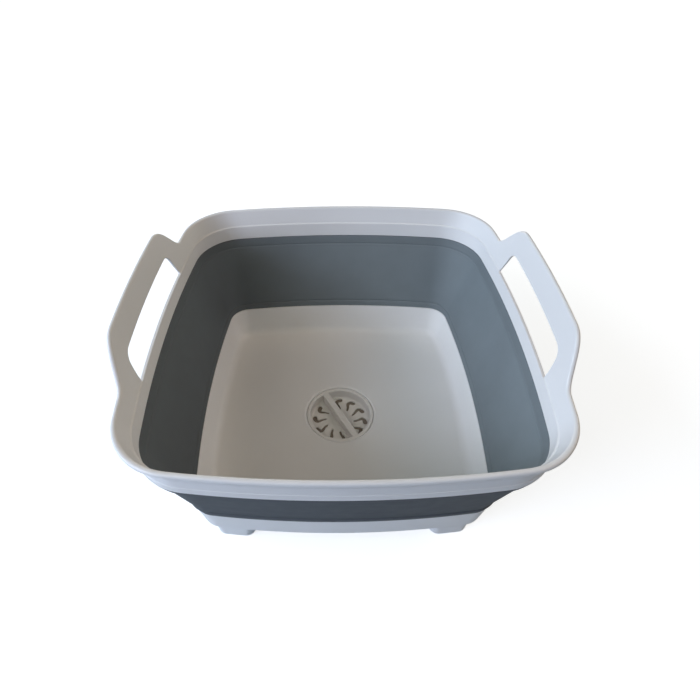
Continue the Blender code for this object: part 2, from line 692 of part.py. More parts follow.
def drain_stopper(material):
    """Make the stopper that plugs the outlet from below."""
    flange_radius = OUTLET_RADIUS + STOPPER_FLANGE_WIDTH
    plug = OUTLET_RADIUS - PLUG_SIDE_CLEARANCE
    top_z = WELL_BOTTOM_Z - GAP
    low_z = top_z - STOPPER_FLANGE_THICKNESS
    plug_z = top_z + PLUG_HEIGHT
    roof_z = plug_z - PLUG_TOP_THICKNESS
    hollow = plug - PLUG_WALL
    profile = [
        (0.0, plug_z), (plug - PLUG_TAPER, plug_z), (plug, top_z), (flange_radius, top_z),
        (flange_radius, low_z), (hollow, low_z), (hollow - PLUG_TAPER, roof_z), (0.0, roof_z)]
    stopper = add_object("drain_stopper", turned_mesh(profile, ROUND_STEPS), material)
    use_tool(stopper, tab_guide(), "UNION")
    use_tool(stopper, bead_guide(), "UNION")
    return stopper


def main():
    clear_scene()
    rim_frame(finish("rim_plastic", WHITE_PLASTIC, 0.38))
    fold_wall(finish("wall_rubber", GREY_RUBBER, 0.55))
    base_pan(finish("base_plastic", WHITE_PLASTIC, 0.38))
    strainer(finish("strainer_plastic", WHITE_PLASTIC, 0.38))
    drain_stopper(finish("stopper_rubber", GREY_RUBBER, 0.55))


main()
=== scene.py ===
"""Collapsible wash tub: the looks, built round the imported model.

The tub is a white rim frame with two carry handles, a soft grey folding wall, a white base pan on
four feet, a strainer that lifts out of the drain well and a stopper below. Units are metres, +Z is
up and the feet stand on Z = 0. A section's points are given as (offset, height): how far inside
the rim's plan outline a point lies, and how high.
"""
import logging
import math
from collections.abc import Sequence
from dataclasses import dataclass
from enum import Enum
from functools import cache, reduce

import bmesh
import bpy
from bmesh.types import BMEdge, BMesh
from bpy.types import ID, Material, Mesh, Node, NodeSocket, NodeTree, Object
from mathutils import Matrix, Vector


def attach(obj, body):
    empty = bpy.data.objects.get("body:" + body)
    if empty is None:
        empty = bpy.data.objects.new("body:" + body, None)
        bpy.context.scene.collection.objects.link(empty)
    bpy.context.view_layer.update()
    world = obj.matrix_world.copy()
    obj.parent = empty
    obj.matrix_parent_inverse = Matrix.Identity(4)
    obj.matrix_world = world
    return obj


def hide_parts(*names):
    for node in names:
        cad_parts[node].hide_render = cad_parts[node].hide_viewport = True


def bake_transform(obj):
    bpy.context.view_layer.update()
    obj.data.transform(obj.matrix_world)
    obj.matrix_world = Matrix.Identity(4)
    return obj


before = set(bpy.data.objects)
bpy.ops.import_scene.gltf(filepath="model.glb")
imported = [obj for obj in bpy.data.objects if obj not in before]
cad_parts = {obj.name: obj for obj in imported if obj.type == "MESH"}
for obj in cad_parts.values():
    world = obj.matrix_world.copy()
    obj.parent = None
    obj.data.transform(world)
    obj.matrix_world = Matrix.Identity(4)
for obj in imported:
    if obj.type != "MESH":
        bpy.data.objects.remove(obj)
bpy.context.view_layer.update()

LOG = logging.getLogger("wash_tub")
Colour = tuple[float, float, float]
Point = tuple[float, float, float]
MERGE = 1e-6
SHARP_ANGLE = math.radians(38.0)

# Radii of the edges that a mould leaves
FINE = 0.0002
CRISP = 0.0003
MOULDED = 0.0004
EASED = 0.0005

# The most of a side that a round corner takes, with and without another one at its far end
SHARED_SIDE = 0.49
WHOLE_SIDE = 0.98


class Slot(Enum):
    """The names of the material slots."""

    RIM = "rim_plastic"
    WALL = "wall_rubber"
    BASE = "base_plastic"
    STRAINER = "strainer_plastic"
    STOPPER = "stopper_rubber"


class Body(Enum):
    """The bodies that pieces ride on."""

    BASE = "base"
    RIM = "rim"
    STRAINER = "strainer"
    STOPPER = "stopper"


class Cut(Enum):
    """What a tool does to the piece it is used on."""

    AWAY = "DIFFERENCE"
    JOIN = "UNION"


class Kind(Enum):
    """The kinds of socket that a node group has."""

    VALUE = "NodeSocketFloat"
    VECTOR = "NodeSocketVector"
    COLOUR = "NodeSocketColor"


# Plan outline and sections


@dataclass(frozen=True)
class PlanOutline:
    """The rim's plan outline: bowed sides and ends joined by corner arcs, all tangent."""

    half_width: float = 0.156
    half_depth: float = 0.159
    side_bow: float = 0.966
    end_bow: float = 0.866
    corner: float = 0.0476
    rim_shrink: float = 0.35
    rim_seam: float = 0.0091492
    base_seam: float = 0.0321353
    base_corner: float = 0.0195

    def corner_radius(self, offset: float) -> float:
        """Give the corner's radius at an offset, where the corners tighten towards the base.

        Args:
            offset: how far inside the outline.

        Returns:
            The radius.
        """
        if offset <= self.rim_seam:
            return self.corner - self.rim_shrink * offset
        if offset >= self.base_seam:
            return self.base_corner - (offset - self.base_seam)
        upper = self.corner - self.rim_shrink * self.rim_seam
        tightened = (self.base_corner - upper) * (offset - self.rim_seam)
        return upper + tightened / (self.base_seam - self.rim_seam)

    @cache
    def corner_arc(self, offset: float = 0.0) -> tuple[Vector, float, float]:
        """Find the corner's arc in the quarter where x and y are positive.

        Args:
            offset: how far inside the outline.

        Returns:
            Its centre in plan, and the outward angles where the side's bow ends and the end's starts.
        """
        side = Vector((self.half_width - self.side_bow, 0.0))
        end = Vector((0.0, self.half_depth - self.end_bow))
        side_reach = self.side_bow - offset - self.corner_radius(offset)
        end_reach = self.end_bow - offset - self.corner_radius(offset)
        between = end - side
        span = between.length
        along = (side_reach ** 2 - end_reach ** 2 + span ** 2) / (2.0 * span)
        across = math.sqrt(side_reach ** 2 - along ** 2)
        forward = between / span
        sideways = Vector((forward.y, -forward.x))
        if sideways.x < 0.0:
            sideways = -sideways
        centre = side + forward * along + sideways * across
        side_turn = math.atan2(centre.y, centre.x - (self.half_width - self.side_bow))
        end_turn = math.atan2(centre.y - (self.half_depth - self.end_bow), centre.x)
        return centre, side_turn, end_turn

    def point(self, turn: float, offset: float) -> Vector:
        """Find the plan point that faces a given way.

        Args:
            turn: angle of the outward direction there.
            offset: how far inside the outline it lies.

        Returns:
            The point in plan.
        """
        folded = math.atan2(abs(math.sin(turn)), abs(math.cos(turn)))
        centre, side_turn, end_turn = self.corner_arc(offset)
        reach = self.corner_radius(offset)
        if folded <= side_turn:
            centre = Vector((self.half_width - self.side_bow, 0.0))
            reach = self.side_bow - offset
        elif folded >= end_turn:
            centre = Vector((0.0, self.half_depth - self.end_bow))
            reach = self.end_bow - offset
        x = centre.x + reach * math.cos(folded)
        y = centre.y + reach * math.sin(folded)
        return Vector((math.copysign(x, math.cos(turn)), math.copysign(y, math.sin(turn))))

    def stood(self, section: Sequence[Vector], turn: float) -> list[Vector]:
        """Give a section's points in space at a turn."""
        return [Vector((*self.point(turn, point.x), point.y)) for point in section]

    def turns(self, side_steps: int, corner_steps: int, end_steps: int) -> list[float]:
        """List the turns of the sections all round.

        Args:
            side_steps: sections along half a side.
            corner_steps: sections round a corner.
            end_steps: sections along half an end.

        Returns:
            The turns, from the middle of the +X side round to just before it.
        """
        _, start, stop = self.corner_arc()
        first = [start * step / side_steps for step in range(side_steps)]
        first += [start + (stop - start) * step / corner_steps for step in range(corner_steps)]
        first += [stop + (math.pi / 2.0 - stop) * step / end_steps for step in range(end_steps + 1)]
        half = first + [math.pi - turn for turn in reversed(first[:-1])]
        return half + [turn + math.pi for turn in half[1:-1]]


@dataclass(frozen=True)
class Corner:
    """One corner of a section, how round it is, and how many pieces the run after it has."""

    offset: float
    height: float
    radius: float = 0.0
    pieces: int = 1
    steps: int = 4


def rounded(corners: Sequence[Corner], closed: bool) -> list[Vector]:
    """Round the corners of a section.

    Args:
        corners: the section's corners, in order.
        closed: whether the last corner joins the first.

    Returns:
        The section's points, always as many for the same corners' steps and pieces.
    """
    count = len(corners)
    places = [Vector((corner.offset, corner.height)) for corner in corners]
    arcs = []
    for index, corner in enumerate(corners):
        here = places[index]
        if corner.radius == 0.0 or (not closed and index in (0, count - 1)):
            arcs.append([here])
            continue
        after = (index + 1) % count
        back, forth = places[index - 1] - here, places[after] - here
        half = back.angle(forth) / 2.0
        limits = [side.length * (SHARED_SIDE if corners[other].radius else WHOLE_SIDE)
                  for side, other in ((back, index - 1), (forth, after))]
        reach = min(corner.radius / math.tan(half), *limits)
        radius = reach * math.tan(half)
        middle = here + (back.normalized() + forth.normalized()).normalized() * radius / math.sin(half)
        first = here + back.normalized() * reach - middle
        last = here + forth.normalized() * reach - middle
        sweep = first.angle_signed(last)
        arcs.append([middle + Matrix.Rotation(-sweep * step / corner.steps, 2) @ first
                     for step in range(corner.steps + 1)])
    points = []
    for index, arc in enumerate(arcs):
        points += arc
        if index == count - 1 and not closed:
            break
        following = arcs[(index + 1) % count][0]
        pieces = corners[index].pieces
        points += [arc[-1].lerp(following, step / pieces) for step in range(1, pieces)]
    return points


@dataclass(frozen=True)
class TubLevels:
    """The heights and slopes that the three bonded mouldings share."""

    foot_height: float = 0.0175
    floor: float = 0.0196
    base_seam: float = 0.0531
    rim_seam: float = 0.1307
    ledge: float = 0.1450
    rim_top: float = 0.1600
    rim_seam_lap: float = 0.0023
    base_seam_lap: float = 0.0007
    seam_thickness: float = 0.0034
    seam_gap: float = 0.0003
    lip_width: float = 0.0032
    ledge_width: float = 0.0010
    base_draft: float = math.radians(8.0)
    wall_slope: float = math.radians(16.5)
    band_draft: float = math.radians(4.0)
    flare: float = math.radians(14.75)

    def band_top(self) -> float:
        """Give the inner offset at the top of the upright band."""
        return self.flare_inner(self.ledge) + self.ledge_width

    def band_inner(self, height: float) -> float:
        """Give the upright band's inner offset at a height."""
        return self.band_top() + (self.ledge - height) * math.tan(self.band_draft)

    def flare_inner(self, height: float) -> float:
        """Give the flared sheet's inner offset at a height."""
        return self.lip_width + (self.rim_top - height) * math.tan(self.flare)

    def wall_inner(self, height: float) -> float:
        """Give the folding wall's inner offset at a height."""
        fall = (self.rim_seam - height) * math.tan(self.wall_slope)
        return self.band_inner(self.rim_seam) + fall

    def base_inner(self, height: float) -> float:
        """Give the base pan's inner offset at a height."""
        fall = (self.base_seam - height) * math.tan(self.base_draft)
        return self.wall_inner(self.base_seam) + fall


# Mesh making


def wrap_grid(sections: Sequence[Sequence[Vector]], looped: bool) -> BMesh:
    """Wrap a grid round a closed line.

    Args:
        sections: the points of each section, all the way round.
        looped: whether each section closes on itself; if not, its two end rings are filled.

    Returns:
        A closed mesh with outward faces.
    """
    columns, rows = len(sections), len(sections[0])
    strips = rows if looped else rows - 1
    mesh = bmesh.new()
    for vert in bmesh.ops.create_grid(mesh, x_segments=columns, y_segments=strips, size=1.0)["verts"]:
        column = round((vert.co.x + 1.0) / 2.0 * columns) % columns
        row = round((vert.co.y + 1.0) / 2.0 * strips) % rows
        vert.co = sections[column][row]
    bmesh.ops.remove_doubles(mesh, verts=mesh.verts[:], dist=MERGE)
    if not looped:
        bmesh.ops.holes_fill(mesh, edges=[edge for edge in mesh.edges if edge.is_boundary])
    bmesh.ops.recalc_face_normals(mesh, faces=mesh.faces[:])
    return mesh


def turned(profile: Sequence[Vector], steps: int) -> BMesh:
    """Spin a closed profile round the Z axis.

    Args:
        profile: points of (radius, height), the first and last on the axis.
        steps: segments all round.

    Returns:
        A closed mesh with outward faces.
    """
    mesh = bmesh.new()
    verts = [mesh.verts.new((point.x, 0.0, point.y)) for point in profile]
    for first, second in zip(verts, verts[1:]):
        mesh.edges.new((first, second))
    bmesh.ops.spin(mesh, geom=mesh.verts[:] + mesh.edges[:], cent=(0.0, 0.0, 0.0), axis=(0.0, 0.0, 1.0),
                   angle=2.0 * math.pi, steps=steps, use_merge=True)
    bmesh.ops.remove_doubles(mesh, verts=mesh.verts[:], dist=MERGE)
    bmesh.ops.recalc_face_normals(mesh, faces=mesh.faces[:])
    return mesh


def block(length: float, width: float, low: float, high: float) -> BMesh:
    """Make a block that stands over the origin.

    Args:
        length: its size along X.
        width: its size along Y.
        low: the height of its underside.
        high: the height of its top.

    Returns:
        The block.
    """
    mesh = bmesh.new()
    bmesh.ops.create_cube(mesh, size=1.0)
    bmesh.ops.scale(mesh, verts=mesh.verts[:], vec=(length, width, high - low))
    bmesh.ops.translate(mesh, verts=mesh.verts[:], vec=(0.0, 0.0, (high + low) / 2.0))
    return mesh


def ease(mesh: BMesh, edges: Sequence[BMEdge], radius: float, segments: int) -> None:
    """Round some edges of a mesh."""
    bmesh.ops.bevel(mesh, geom=edges, offset=radius, offset_type="OFFSET", segments=segments,
                    profile=0.5, affect="EDGES", material=-1)


def turn_mesh(mesh: BMesh, angle: float) -> None:
    """Turn a mesh round the Z axis."""
    turn = Matrix.Rotation(angle, 3, "Z")
    bmesh.ops.rotate(mesh, verts=mesh.verts[:], cent=(0.0, 0.0, 0.0), matrix=turn)


def grown(outline: Sequence[Vector], amount: float) -> list[Vector]:
    """Move a closed flat outline outwards.

    Args:
        outline: its points, anticlockwise.
        amount: how far to move it, or inwards if negative.

    Returns:
        The moved points.
    """
    moved = []
    for index, point in enumerate(outline):
        along = outline[(index + 1) % len(outline)] - outline[index - 1]
        moved.append(point + Vector((along.y, -along.x)).normalized() * amount)
    return moved


def smooth_line(points: Sequence[Vector], pieces: int) -> list[Vector]:
    """Draw a smooth line through points.

    Args:
        points: what it passes through, with as many numbers each as are to be smoothed.
        pieces: steps between two points.

    Returns:
        The line's points.
    """
    padded = [points[0] * 2.0 - points[1], *points, points[-1] * 2.0 - points[-2]]
    line = []
    for before, here, after, beyond in zip(padded, padded[1:], padded[2:], padded[3:]):
        for step in range(pieces):
            t = step / pieces
            line.append(0.5 * (here * 2.0 + (after - before) * t
                               + (before * 2.0 - here * 5.0 + after * 4.0 - beyond) * t ** 2
                               + (here * 3.0 - before - after * 3.0 + beyond) * t ** 3))
    return line + [points[-1]]


def half_circle(middle: Vector, start: Vector, steps: int) -> list[Vector]:
    """Draw an anticlockwise half circle round a middle from a start, without its two ends."""
    return [middle + Matrix.Rotation(math.pi * step / steps, 2) @ (start - middle)
            for step in range(1, steps)]


def shade(data: Mesh) -> None:
    """Shade a mesh smooth, except at its sharp edges."""
    data.shade_smooth()
    data.set_sharp_from_angle(angle=SHARP_ANGLE)


def linked(name: str, data: ID) -> Object:
    """Put a new object in the scene.

    Args:
        name: its name.
        data: its mesh, light or camera.

    Returns:
        The object.
    """
    item = bpy.data.objects.new(name, data)
    bpy.context.scene.collection.objects.link(item)
    return item


def new_object(name: str, mesh: BMesh) -> Object:
    """Turn a bmesh into an object in the scene.

    Args:
        name: the object's name.
        mesh: its mesh, which is freed.

    Returns:
        The object.
    """
    data = bpy.data.meshes.new(name)
    mesh.to_mesh(data)
    mesh.free()
    shade(data)
    return linked(name, data)


def stacked(name: str, flat: Sequence[Vector], levels: Sequence[tuple[float, float]]) -> Object:
    """Stack a flat outline into a closed tool.

    Args:
        name: the tool's name.
        flat: the outline, anticlockwise.
        levels: each level's height, and how far the outline is moved outwards there.

    Returns:
        The tool.
    """
    rings = [(height, grown(flat, out)) for height, out in levels]
    sections = [[Vector((ring[column].x, ring[column].y, height)) for height, ring in rings]
                for column in range(len(flat))]
    return new_object(name, wrap_grid(sections, looped=False))


def work(piece: Object, tools: Sequence[Object], cut: Cut) -> None:
    """Cut tools out of a piece, or join them to it, and clear the tools away.

    Args:
        piece: the piece to work on.
        tools: the tools to use.
        cut: what they do.
    """
    for tool in tools:
        change = piece.modifiers.new(tool.name, "BOOLEAN")
        change.operation = cut.value
        change.solver = "EXACT"
        change.object = tool
    shaped = piece.evaluated_get(bpy.context.evaluated_depsgraph_get())
    data = bpy.data.meshes.new_from_object(shaped)
    piece.modifiers.clear()
    piece.data = data
    shade(data)
    for tool in tools:
        bpy.data.objects.remove(tool, do_unlink=True)


def finish_piece(piece: Object, node: str, material: Material) -> None:
    """Even out a piece's shading, give it its material and hide the solid that it stands for.

    Args:
        piece: the finished piece.
        node: the solid that it stands for.
        material: its material.
    """
    even = piece.modifiers.new("even_shading", "WEIGHTED_NORMAL")
    even.keep_sharp = True
    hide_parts(node)
    for item in (piece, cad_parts[node]):
        item.data.materials.clear()
        item.data.materials.append(material)
    LOG.info("%s: %d vertices", piece.name, len(piece.data.vertices))


# Finishes


class NodeSheet:
    """A node tree that is filled in by short calls."""

    def __init__(self, tree: NodeTree) -> None:
        """Start on a tree."""
        self.tree = tree

    def put(self, socket: NodeSocket, value: object) -> None:
        """Set a socket, or link it where the value is a socket.

        Args:
            socket: the input to fill in.
            value: what goes in.
        """
        if isinstance(value, NodeSocket):
            self.tree.links.new(value, socket)
        else:
            socket.default_value = value

    def add(self, kind: str, tree: NodeTree | None = None, **inputs: object) -> Node:
        """Add a node.

        Args:
            kind: the node's type.
            tree: the group that it shows, for a group node.
            inputs: a value or a socket for each input, its name with _ for a space.

        Returns:
            The node.
        """
        node = self.tree.nodes.new(kind)
        if tree:
            node.node_tree = tree
        for name, value in inputs.items():
            self.put(node.inputs[name.replace("_", " ")], value)
        return node

    def operate(self, kind: str, operation: str, first: object, second: object) -> Node:
        """Add a node that works on two values.

        Args:
            kind: the node's type.
            operation: what it does.
            first: a value or a socket.
            second: a value or a socket.

        Returns:
            The node.
        """
        node = self.tree.nodes.new(kind)
        node.operation = operation
        self.put(node.inputs[0], first)
        self.put(node.inputs[1], second)
        return node

    def reckon(self, operation: str, first: object, second: object) -> NodeSocket:
        """Work out a number from two numbers or sockets."""
        return self.operate("ShaderNodeMath", operation, first, second).outputs[0]

    def product(self, *factors: object) -> NodeSocket:
        """Multiply numbers and sockets."""
        return reduce(lambda result, factor: self.reckon("MULTIPLY", result, factor), factors)

    def total(self, *terms: object) -> NodeSocket:
        """Add up numbers and sockets."""
        return reduce(lambda result, term: self.reckon("ADD", result, term), terms)

    def vectors(self, operation: str, first: object, second: object = (0.0, 0.0, 0.0)) -> Node:
        """Add a node that works on one or two vectors."""
        return self.operate("ShaderNodeVectorMath", operation, first, second)

    def span(self, value: NodeSocket, old: tuple[float, float],
             new: tuple[float, float] = (0.0, 1.0)) -> NodeSocket:
        """Carry a value from an old range to a new one, and keep it there."""
        return self.add("ShaderNodeMapRange", Value=value, From_Min=old[0], From_Max=old[1],
                        To_Min=new[0], To_Max=new[1]).outputs["Result"]

    def noise(self, place: NodeSocket, scale: object, detail: float, roughness: float = 0.5) -> NodeSocket:
        """Add a noise, read at a place."""
        return self.add("ShaderNodeTexNoise", Vector=place, Scale=scale, Detail=detail,
                        Roughness=roughness).outputs["Fac"]

    def mix(self, share: NodeSocket, first: object, second: object) -> NodeSocket:
        """Mix two colours.

        Args:
            share: how much of the second.
            first: a colour or a socket.
            second: a colour or a socket.

        Returns:
            The colour's socket.
        """
        node = self.tree.nodes.new("ShaderNodeMix")
        node.data_type = "RGBA"
        for index, value in ((0, share), (6, first), (7, second)):
            self.put(node.inputs[index], value)
        return node.outputs[2]


class GroupSheet(NodeSheet):
    """A shader node group that is filled in by short calls."""

    def __init__(self, name: str, inputs: dict[str, Kind], outputs: dict[str, Kind]) -> None:
        """Start the group.

        Args:
            name: its name.
            inputs: the kind of each input.
            outputs: the kind of each output.
        """
        super().__init__(bpy.data.node_groups.new(name, "ShaderNodeTree"))
        for way, sockets in (("INPUT", inputs), ("OUTPUT", outputs)):
            for label, kind in sockets.items():
                self.tree.interface.new_socket(label, in_out=way, socket_type=kind.value)
        self.given = self.tree.nodes.new("NodeGroupInput").outputs
        self.out = self.tree.nodes.new("NodeGroupOutput").inputs


class MaskSheet(GroupSheet):
    """A group that puts out a mask, as strong as the amount that it is given."""

    def __init__(self, name: str, *vectors: str) -> None:
        """Start the group, with its vector inputs."""
        inputs = {vector: Kind.VECTOR for vector in vectors} | {"Amount": Kind.VALUE}
        super().__init__(name, inputs, {"Mask": Kind.VALUE})

    def masked(self, *shares: NodeSocket) -> NodeTree:
        """Put out the product of some shares and the amount, and give the finished group."""
        self.put(self.out["Mask"], self.product(*shares, self.given["Amount"]))
        return self.tree


class MaterialSheet(NodeSheet):
    """A new material's tree, with its Principled shader."""

    def __init__(self, name: str) -> None:
        """Start the material.

        Args:
            name: its name.
        """
        self.material = bpy.data.materials.new(name)
        self.material.use_nodes = True
        super().__init__(self.material.node_tree)
        self.shader = self.tree.nodes["Principled BSDF"]


@dataclass(frozen=True)
class Cloud:
    """A soft noise: its scale, detail and roughness, where it fades, and the least it gives."""

    scale: float
    detail: float
    roughness: float
    fade: tuple[float, float]
    least: float = 0.0

    def add(self, sheet: NodeSheet, place: NodeSocket) -> NodeSocket:
        """Add the cloud to a sheet, read at a place."""
        level = sheet.noise(place, self.scale, self.detail, self.roughness)
        return sheet.span(level, self.fade, (self.least, 1.0))


class SharedEffects:
    """The node groups that more than one finish uses."""

    fine_share = 0.35
    broad_share = 0.65
    broad_scale = 0.045
    roughness_shift = 0.03
    scratches = ((0.5, 16.0), (1.9, 13.0), (2.7, 19.0))
    scratch_fade = (0.70, 0.78)
    # Painted light on the grey wall's inner faces: which way it grows stronger, over what range, how strong,
    # and how much is left above the upper fold as painted shadow under the rim.
    painted_light_lean = (4.5, 1.4, 3.5)
    painted_light_span = (-0.585, 0.665)
    painted_light_strength = (0.1, 1.35)
    upper_fold = (0.1195, 0.1240)
    painted_light_above_fold = 0.75

    def __init__(self) -> None:
        """Build every group once."""
        self.grain = self.mould_grain()
        self.drift = self.tone_drift()
        self.handling = self.handling_marks()
        self.dust = self.on_top("settled_dust", (0.35, 1.0), Cloud(60.0, 5.0, 0.65, (0.4, 0.75), 0.1))
        # Painted shade: faces that look up, such as the pan's floor and the lip's top, are painted darker, as
        # if less lit than the walls.
        self.floor_shade = self.on_top("dulled_floor", (0.2, 0.95), Cloud(11.0, 3.0, 0.5, (0.3, 0.7), 0.85))
        # Painted light on the inner faces of the grey wall.
        self.painted_light = self.inner_film()

    def mould_grain(self) -> NodeTree:
        """Build the fine grain that a mould's surface leaves.

        Returns:
            A group that puts out a height and a shift of roughness.
        """
        sheet = GroupSheet("mould_grain", {"Vector": Kind.VECTOR, "Scale": Kind.VALUE},
                           {"Height": Kind.VALUE, "Roughness Shift": Kind.VALUE})
        place, scale = sheet.given["Vector"], sheet.given["Scale"]
        fine = sheet.noise(place, scale, 3.0, 0.6)
        broad = sheet.noise(place, sheet.product(scale, self.broad_scale), 2.0)
        height = sheet.total(sheet.product(fine, self.fine_share), sheet.product(broad, self.broad_share))
        sheet.put(sheet.out["Height"], height)
        shift = sheet.span(broad, (0.3, 0.7), (-self.roughness_shift, self.roughness_shift))
        sheet.put(sheet.out["Roughness Shift"], shift)
        return sheet.tree

    def tone_drift(self) -> NodeTree:
        """Build the slow drift of tone over a moulding.

        Returns:
            A group that puts out the colour.
        """
        sheet = GroupSheet("tone_drift", {"Vector": Kind.VECTOR, "Light Tone": Kind.COLOUR,
                                          "Deep Tone": Kind.COLOUR}, {"Colour": Kind.COLOUR})
        share = Cloud(9.0, 3.0, 0.45, (0.35, 0.65)).add(sheet, sheet.given["Vector"])
        colour = sheet.mix(share, sheet.given["Light Tone"], sheet.given["Deep Tone"])
        sheet.put(sheet.out["Colour"], colour)
        return sheet.tree

    def handling_marks(self) -> NodeTree:
        """Build the short hair scratches that handling leaves.

        Returns:
            A group that puts out a mask of scratches.
        """
        sheet = MaskSheet("handling_marks", "Vector")
        place = sheet.given["Vector"]
        masks = []
        for angle, stretch in self.scratches:
            drawn = sheet.add("ShaderNodeMapping", Vector=place, Rotation=(0.35, 0.2, angle),
                              Scale=(stretch, 260.0, 90.0)).outputs["Vector"]
            masks.append(sheet.span(sheet.noise(drawn, 1.0, 0.0), self.scratch_fade))
        joined = reduce(lambda first, second: sheet.reckon("MAXIMUM", first, second), masks)
        return sheet.masked(joined, Cloud(22.0, 2.0, 0.5, (0.45, 0.62)).add(sheet, place))

    def on_top(self, name: str, facing: tuple[float, float], cloud: Cloud) -> NodeTree:
        """Build a mask on faces that look up, for real dust or for painted shade.

        Args:
            name: the group's name.
            facing: how upright a face's normal is where it starts and where it is full.
            cloud: how it is spread.

        Returns:
            A group that puts out a mask of it.
        """
        sheet = MaskSheet(name, "Vector", "Normal")
        upright = sheet.add("ShaderNodeSeparateXYZ", Vector=sheet.given["Normal"]).outputs["Z"]
        return sheet.masked(sheet.span(upright, facing), cloud.add(sheet, sheet.given["Vector"]))

    def inner_film(self) -> NodeTree:
        """Build the painted light that lightens what faces the inside of the tub, in soft patches.

        It is painted stronger towards +X, +Y and the top, so the wall is darker towards the bottom, and
        weaker above the upper fold, as a painted shadow under the rim.

        Returns:
            A group that puts out a mask of painted light.
        """
        sheet = MaskSheet("inner_film", "Vector", "Normal")
        place = sheet.given["Vector"]
        flat = sheet.vectors("MULTIPLY", place, (1.0, 1.0, 0.0)).outputs["Vector"]
        outward = sheet.vectors("NORMALIZE", flat).outputs["Vector"]
        facing = sheet.vectors("DOT_PRODUCT", sheet.given["Normal"], outward).outputs["Value"]
        inside = sheet.span(facing, (0.1, -0.1))
        cloud = Cloud(14.0, 4.0, 0.55, (0.3, 0.7), 0.75).add(sheet, place)
        # Painted light, stronger towards +X, +Y and the top; the wall is painted darker towards the bottom.
        leaning = sheet.vectors("DOT_PRODUCT", place, self.painted_light_lean).outputs["Value"]
        thick = sheet.span(leaning, self.painted_light_span, self.painted_light_strength)
        height = sheet.add("ShaderNodeSeparateXYZ", Vector=place).outputs["Z"]
        # Painted shadow of the rim: less painted light above the upper fold.
        under_rim = sheet.span(height, self.upper_fold, (1.0, self.painted_light_above_fold))
        return sheet.masked(inside, cloud, thick, under_rim)


@dataclass(frozen=True)
class Finish:
    """What every finish on the tub has: its tones, gloss, grain, signs of use, and painted light and shade.
    """

    name: str
    light_tone: Colour
    deep_tone: Colour
    roughness: float
    grain_scale: float
    grain_depth: float
    scratch: float
    dust: float
    specular: float = 0.5
    # How much painted light lies on faces that look into the tub.
    painted_light: float = 0.0
    # How much painted shade lies on faces that look up.
    floor_shade: float = 0.0
    # The tone of that painted light.
    painted_light_tone: Colour = (0.42, 0.50, 0.53)
    # The tone of that painted shade.
    floor_shade_tone: Colour = (0.50, 0.485, 0.46)
    dust_tone: float = 0.55
    dust_tint: float = 0.3
    scratch_dulls: float = 0.18
    scratch_cuts: float = 0.4
    dust_dulls: float = 0.3
    bump: float = 0.6

    def material(self, effects: SharedEffects) -> Material:
        """Build the material.

        Args:
            effects: the shared node groups.

        Returns:
            The material.
        """
        sheet = MaterialSheet(self.name)
        shader = sheet.shader.inputs
        shader["Specular IOR Level"].default_value = self.specular
        place = sheet.add("ShaderNodeTexCoord").outputs["Object"]
        facing = sheet.add("ShaderNodeNewGeometry").outputs["Normal"]
        # Painted light on inner faces, painted shade on faces that look up, and real dust.
        groups = (effects.painted_light, self.painted_light), (effects.floor_shade, self.floor_shade), (effects.dust, self.dust)
        painted_light, floor_shade, dust = (
            sheet.add("ShaderNodeGroup", group, Vector=place, Normal=facing, Amount=amount).outputs["Mask"]
            for group, amount in groups)
        colour = sheet.add("ShaderNodeGroup", effects.drift, Vector=place, Light_Tone=(*self.light_tone, 1.0),
                           Deep_Tone=(*self.deep_tone, 1.0)).outputs["Colour"]
        dusty = tuple(self.dust_tone + self.dust_tint * channel for channel in self.light_tone)
        for mask, tone in ((painted_light, self.painted_light_tone), (floor_shade, self.floor_shade_tone), (dust, dusty)):
            colour = sheet.mix(mask, colour, (*tone, 1.0))
        sheet.put(shader["Base Color"], colour)
        grain = sheet.add("ShaderNodeGroup", effects.grain, Vector=place, Scale=self.grain_scale).outputs
        marks = sheet.add("ShaderNodeGroup", effects.handling, Vector=place,
                          Amount=self.scratch).outputs["Mask"]
        rough = sheet.total(grain["Roughness Shift"], self.roughness,
                            sheet.product(marks, self.scratch_dulls), sheet.product(dust, self.dust_dulls))
        sheet.put(shader["Roughness"], rough)
        depth = sheet.reckon("SUBTRACT", grain["Height"], sheet.product(marks, self.scratch_cuts))
        bump = sheet.add("ShaderNodeBump", Height=depth, Strength=self.bump, Distance=self.grain_depth)
        sheet.put(shader["Normal"], bump.outputs["Normal"])
        return sheet.material


# This white carries a little painted shade on faces that look up.
WHITE_PLASTIC = Finish(
    name="white_satin_plastic", light_tone=(0.765, 0.77, 0.78), deep_tone=(0.74, 0.745, 0.755),
    roughness=0.38, grain_scale=1500.0, grain_depth=0.00006, scratch=0.35, dust=0.04, floor_shade=0.20)
# Painted light: the base pan is the same white plastic as the rim, painted lighter as if it caught more light
# from the floor; its upward faces get more painted shade to match.
LIT_BASE_PLASTIC = Finish(
    name="base_satin_plastic", light_tone=(0.875, 0.880, 0.880), deep_tone=(0.845, 0.848, 0.845),
    roughness=0.38, grain_scale=1500.0, grain_depth=0.00006, scratch=0.40, dust=0.04, floor_shade=0.27)
# Painted shade: the strainer is the same white plastic, painted warmer and darker for the shade and warm
# bounce in the drain recess.
SHADED_STRAINER_PLASTIC = Finish(
    name="strainer_satin_plastic", light_tone=(0.76, 0.75, 0.73), deep_tone=(0.73, 0.715, 0.69),
    roughness=0.40, grain_scale=1700.0, grain_depth=0.00005, scratch=0.45, dust=0.05)
